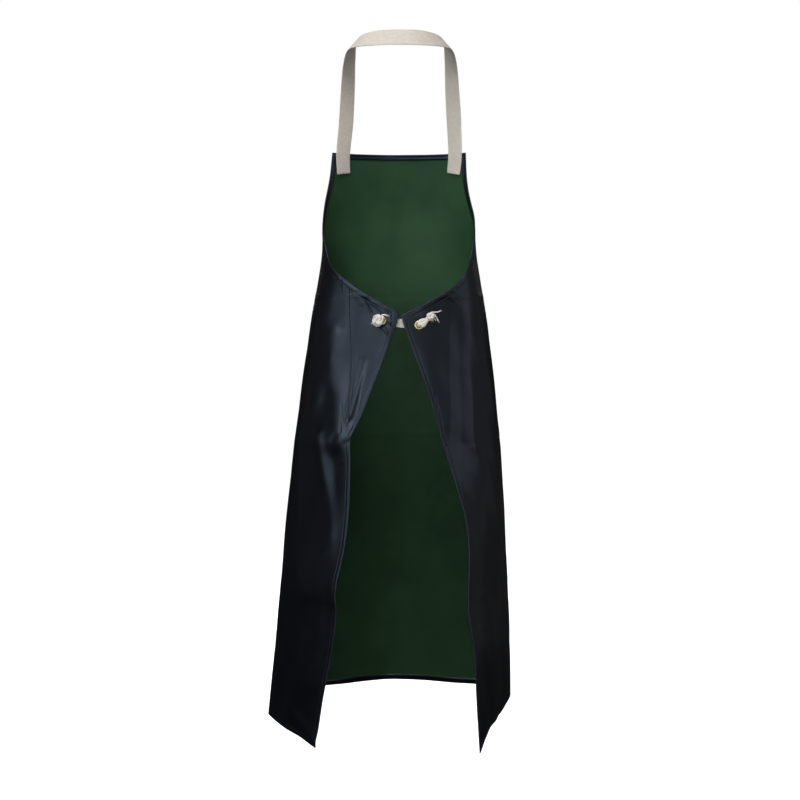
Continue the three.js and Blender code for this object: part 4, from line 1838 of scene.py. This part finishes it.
@dataclass(frozen=True)
class TapeFinish:
    """Undyed woven cotton: cream threads over and under each other, with painted shade in the weave's
    low places and a soft bloom.
    """

    name: str = "cream_tape"
    # The deep colour serves the random mottle and the painted shade in the weave's low places
    deep: tuple[float, float, float] = (0.68, 0.605, 0.515)
    pale: tuple[float, float, float] = (0.82, 0.765, 0.700)
    roughness: float = 0.88
    specular: float = 0.2
    bloom: float = 0.25
    thread: float = 0.0009
    mottle: Grain = Grain(190.0, 4.0)
    fuzz: Grain = Grain(2400.0, 3.0, 0.0002, 0.3)
    weave_bump: tuple[float, float] = (0.0004, 0.6)

    def material(self) -> bpy.types.Material:
        """Builds the finish on the tape's own UV map and Object coordinates.

        Returns:
            The material.
        """
        recipe = Recipe(self.name)
        coords = recipe.node("ShaderNodeTexCoord").outputs["Object"]
        height = recipe.weave(self.thread)
        drift = recipe.ranged(recipe.noise(coords, self.mottle))
        mottled = recipe.mixed(drift, self.deep, self.pale)
        # Painted shade: the low places of the weave, between the threads, take the deep colour
        base = recipe.mixed(height, self.deep, mottled)
        recipe.link(base, recipe.shader.inputs["Base Color"])
        recipe.fixed(Roughness=self.roughness, Specular_IOR_Level=self.specular)
        recipe.fixed(Sheen_Weight=self.bloom)
        recipe.bump(height, *self.weave_bump)
        recipe.rough(coords, self.fuzz)
        return recipe.material


@dataclass(frozen=True)
class BrassFinish:
    """Pressed brass, bright on top with a dull bloom."""

    name: str = "brass"
    dull: tuple[float, float, float] = (0.44, 0.33, 0.13)
    bright: tuple[float, float, float] = (0.74, 0.62, 0.30)
    roughness: tuple[float, float] = (0.24, 0.42)
    bloom: Grain = Grain(260.0, 4.0)
    haze: Grain = Grain(420.0, 3.0)
    grain: Grain = Grain(900.0, 2.0, 0.0001, 0.15)

    def material(self) -> bpy.types.Material:
        """Builds the finish on Object coordinates.

        Returns:
            The material.
        """
        recipe = Recipe(self.name)
        coords = recipe.node("ShaderNodeTexCoord").outputs["Object"]
        bloom = recipe.ranged(recipe.noise(coords, self.bloom))
        recipe.link(recipe.mixed(bloom, self.dull, self.bright), recipe.shader.inputs["Base Color"])
        haze = recipe.ranged(recipe.noise(coords, self.haze), *self.roughness)
        recipe.link(haze, recipe.shader.inputs["Roughness"])
        recipe.fixed(Metallic=1.0)
        recipe.rough(coords, self.grain)
        return recipe.material


@dataclass(frozen=True)
class ThreadFinish:
    """Twisted sewing thread."""

    name: str
    deep: tuple[float, float, float]
    pale: tuple[float, float, float]
    twist: float = 0.0007
    roughness: float = 0.6
    specular: float = 0.35
    twist_bump: tuple[float, float] = (0.0002, 0.5)

    def material(self) -> bpy.types.Material:
        """Builds the twist as slanting bands on the stitches' own UV map, with painted shade in its
        grooves.

        Returns:
            The material.
        """
        recipe = Recipe(self.name)
        coords = recipe.node("ShaderNodeTexCoord")
        spread = recipe.node("ShaderNodeMapping", Scale=(1 / self.twist, 1 / self.twist, 1.0))
        recipe.link(coords.outputs["UV"], spread.inputs["Vector"])
        bands = recipe.node("ShaderNodeTexWave", bands_direction="DIAGONAL", Scale=BAND_SCALE)
        recipe.link(spread.outputs["Vector"], bands.inputs["Vector"])
        # Painted shade: the twist's grooves, the low places of the bands that the bump follows, take
        # the deep colour
        base = recipe.mixed(bands.outputs["Fac"], self.deep, self.pale)
        recipe.link(base, recipe.shader.inputs["Base Color"])
        recipe.fixed(Roughness=self.roughness, Specular_IOR_Level=self.specular)
        recipe.bump(bands.outputs["Fac"], *self.twist_bump)
        return recipe.material


# A paler copy of the cream tape for the waist tie and its knots: painted light, standing in for the
# brighter light they catch
TIE_TAPE_PAINTED_LIGHT = TapeFinish("tie_tape_painted_light", (0.78, 0.73, 0.65), (0.93, 0.90, 0.84))
NAVY_THREAD = ThreadFinish("navy_thread", (0.006, 0.008, 0.014), (0.016, 0.019, 0.028))
CREAM_THREAD = ThreadFinish("cream_thread", (0.60, 0.52, 0.41), (0.78, 0.71, 0.61))


# The tints of the lights
WHITE = (1.0, 1.0, 1.0)
DAYLIGHT = (0.89, 0.96, 1.0)


@dataclass(frozen=True)
class SoftBox:
    """A soft area light that looks at a point."""

    name: str
    place: tuple[float, float, float]
    target: tuple[float, float, float]
    size: tuple[float, float]
    power: float
    colour: tuple[float, float, float] = WHITE

    def build(self) -> None:
        """Makes the light."""
        lamp = bpy.data.lights.new(self.name, "AREA")
        lamp.shape = "RECTANGLE"
        lamp.size, lamp.size_y = self.size
        lamp.energy = self.power
        lamp.color = self.colour
        light = bpy.data.objects.new(self.name, lamp)
        bpy.context.scene.collection.objects.link(light)
        light.location = self.place
        light.rotation_euler = look_at(self.place, self.target)
        light.visible_camera = False


def look_at(place: tuple[float, float, float], target: tuple[float, float, float]) -> Euler:
    """The turn that makes an object at a place look at a target along its own -Z."""
    way = Vector(target) - Vector(place)
    return way.to_track_quat("-Z", "Y").to_euler()


@dataclass
class Studio:
    """The camera, the pale floor and the soft lights."""

    camera_place: tuple[float, float, float] = (0.0, 2.620, -0.477)
    camera_down: float = 3.73
    camera_lens: float = 65.23
    camera_sensor: float = 36.0
    camera_reach: float = 200.0
    floor_level: float = -1.52
    floor_half: float = 40.0
    floor_lines: int = 3
    floor_colour: tuple[float, float, float] = (0.9, 0.9, 0.9)
    floor_roughness: float = 0.9
    floor_light: float = 3.75
    floor_light_degrees: float = 70.0
    ambient: float = 0.015
    boxes: tuple[SoftBox, ...] = (
        SoftBox("key_box", (1.75, 2.05, 0.25), (0.0, 0.0, -0.5), (2.8, 2.3), 26.0, DAYLIGHT),
        SoftBox("key_core", (2.15, 1.50, 0.55), (0.1, 0.0, -0.6), (0.9, 0.4), 8.5, DAYLIGHT),
        SoftBox("corner_box", (0.80, 2.60, -0.02), (0.0, 0.0, -0.5), (0.6, 0.5), 4.2),
        SoftBox("front_box", (0.3, 1.5, 1.7), (0.0, 0.0, -0.3), (1.8, 1.0), 46.0),
        SoftBox("low_box", (-0.3, 2.9, -0.6), (0.0, 0.0, -0.7), (1.6, 1.2), 12.0),
        SoftBox("side_box", (-1.48, 2.37, 0.1), (0.0, 0.0, -0.5), (1.9, 1.6), 4.2),
        SoftBox("fill_box", (-2.44, 0.89, 0.1), (0.0, 0.0, -0.5), (1.6, 1.6), 7.5),
        SoftBox("rim_box", (-2.5, -0.5, -0.6), (0.0, 0.0, -0.7), (2.0, 1.8), 1.9),
        SoftBox("streak_box", (2.45, 1.10, -0.38), (0.1, 0.0, -0.8), (0.5, 0.35), 1.6, DAYLIGHT),
        SoftBox("low_rim_box", (-1.85, -1.95, -1.25), (0.0, 0.0, -0.9), (1.4, 0.9), 0.1),
        SoftBox("left_rim_box", (2.5, -0.6, -0.45), (0.0, 0.0, -0.6), (1.7, 1.3), 0.5),
        SoftBox("bib_box", (0.9, -2.6, 0.75), (0.0, 0.0, -0.4), (1.6, 1.5), 20.0),
        SoftBox("bib_fill_box", (-1.5, -2.2, 0.7), (0.0, 0.0, -0.4), (1.0, 1.4), 6.0),
        SoftBox("skirt_box", (0.2, -2.9, -0.75), (0.0, 0.0, -0.8), (0.7, 1.1), 10.0),
    )

    def build_camera(self) -> None:
        """Makes the camera, which looks at the apron's back and a little down."""
        lens = bpy.data.cameras.new("camera")
        lens.lens = self.camera_lens
        lens.sensor_width = self.camera_sensor
        lens.clip_end = self.camera_reach
        camera = bpy.data.objects.new("camera", lens)
        bpy.context.scene.collection.objects.link(camera)
        camera.location = self.camera_place
        camera.rotation_euler = (math.radians(90 - self.camera_down), 0.0, math.pi)
        bpy.context.scene.camera = camera

    def build_floor(self) -> None:
        """Makes a wide flat floor below the hem, with a light of its own that keeps it pale."""
        line = np.linspace(-self.floor_half, self.floor_half, self.floor_lines)
        x, y = np.meshgrid(line, line, indexing="ij")
        points = np.stack([x, y, np.full(x.shape, self.floor_level)], axis=-1).reshape(-1, 3)
        recipe = Recipe("pale_floor")
        recipe.fixed(Base_Color=(*self.floor_colour, 1.0), Roughness=self.floor_roughness)
        faces = [grid_faces(np.arange(x.size).reshape(x.shape))]
        floor = MeshParts(points, faces, points[:, :2]).as_object("floor", recipe.material)
        floor.visible_glossy = False
        floor.visible_diffuse = False
        lit = bpy.data.collections.new("floor_lit")
        lit.objects.link(floor)
        sun = bpy.data.lights.new("floor_sun", "SUN")
        sun.energy = self.floor_light
        sun.angle = math.radians(self.floor_light_degrees)
        light = bpy.data.objects.new("floor_sun", sun)
        bpy.context.scene.collection.objects.link(light)
        light.light_linking.receiver_collection = lit

    def build_lights(self) -> None:
        """Makes the soft boxes and a dim room, which is white only where the camera sees it."""
        for box in self.boxes:
            box.build()
        world = bpy.data.worlds.new("studio")
        bpy.context.scene.world = world
        world.use_nodes = True
        nodes, links = world.node_tree.nodes, world.node_tree.links
        room, seen = nodes["Background"], nodes.new("ShaderNodeBackground")
        for background in (room, seen):
            background.inputs["Color"].default_value = (*WHITE, 1.0)
        room.inputs["Strength"].default_value = self.ambient
        path = nodes.new("ShaderNodeLightPath")
        choice = nodes.new("ShaderNodeMixShader")
        links.new(path.outputs["Is Camera Ray"], choice.inputs["Fac"])
        links.new(room.outputs["Background"], choice.inputs[1])
        links.new(seen.outputs["Background"], choice.inputs[2])
        links.new(choice.outputs["Shader"], nodes["World Output"].inputs["Surface"])
        bpy.context.scene.view_settings.view_transform = "Standard"


def main() -> None:
    """Builds the studio and the apron's pieces in order, and reports each."""
    logging.basicConfig(level=logging.INFO, format="%(name)s: %(message)s")
    studio = Studio()
    studio.build_camera()
    form = WornForm()
    left, right = spot_place(form, LEFT_SPOT), spot_place(form, RIGHT_SPOT)
    cotton = TapeFinish().material()
    # The waist tie and knots take the paler copy of the tape, painted light for the brighter light on
    # them
    pieces = WaistTie(left, right).build(TIE_TAPE_PAINTED_LIGHT.material())
    vinyl = VinylSheet(form)
    sheet = vinyl.build(VinylFinish().material(), BackingFinish().material())
    settle(sheet, Slot.VINYL, "apron_panel")
    strap = NeckStrap(vinyl)
    pieces.append(strap.build(cotton))
    brass = BrassFinish().material()
    for name, place in ((LEFT_SPOT.name, left), (RIGHT_SPOT.name, right)):
        pieces.append(Eyelet(place).build(f"brass_{name}", name, brass))
    stitches = HemStitches(vinyl, strap)
    threads = stitches.build(NAVY_THREAD.material(), CREAM_THREAD.material())
    pieces += [sheet, *threads]
    studio.build_floor()
    studio.build_lights()
    for piece in pieces:
        log.info("%s: %d faces", piece.name, len(piece.data.polygons))


if __name__ == "__main__":
    main()
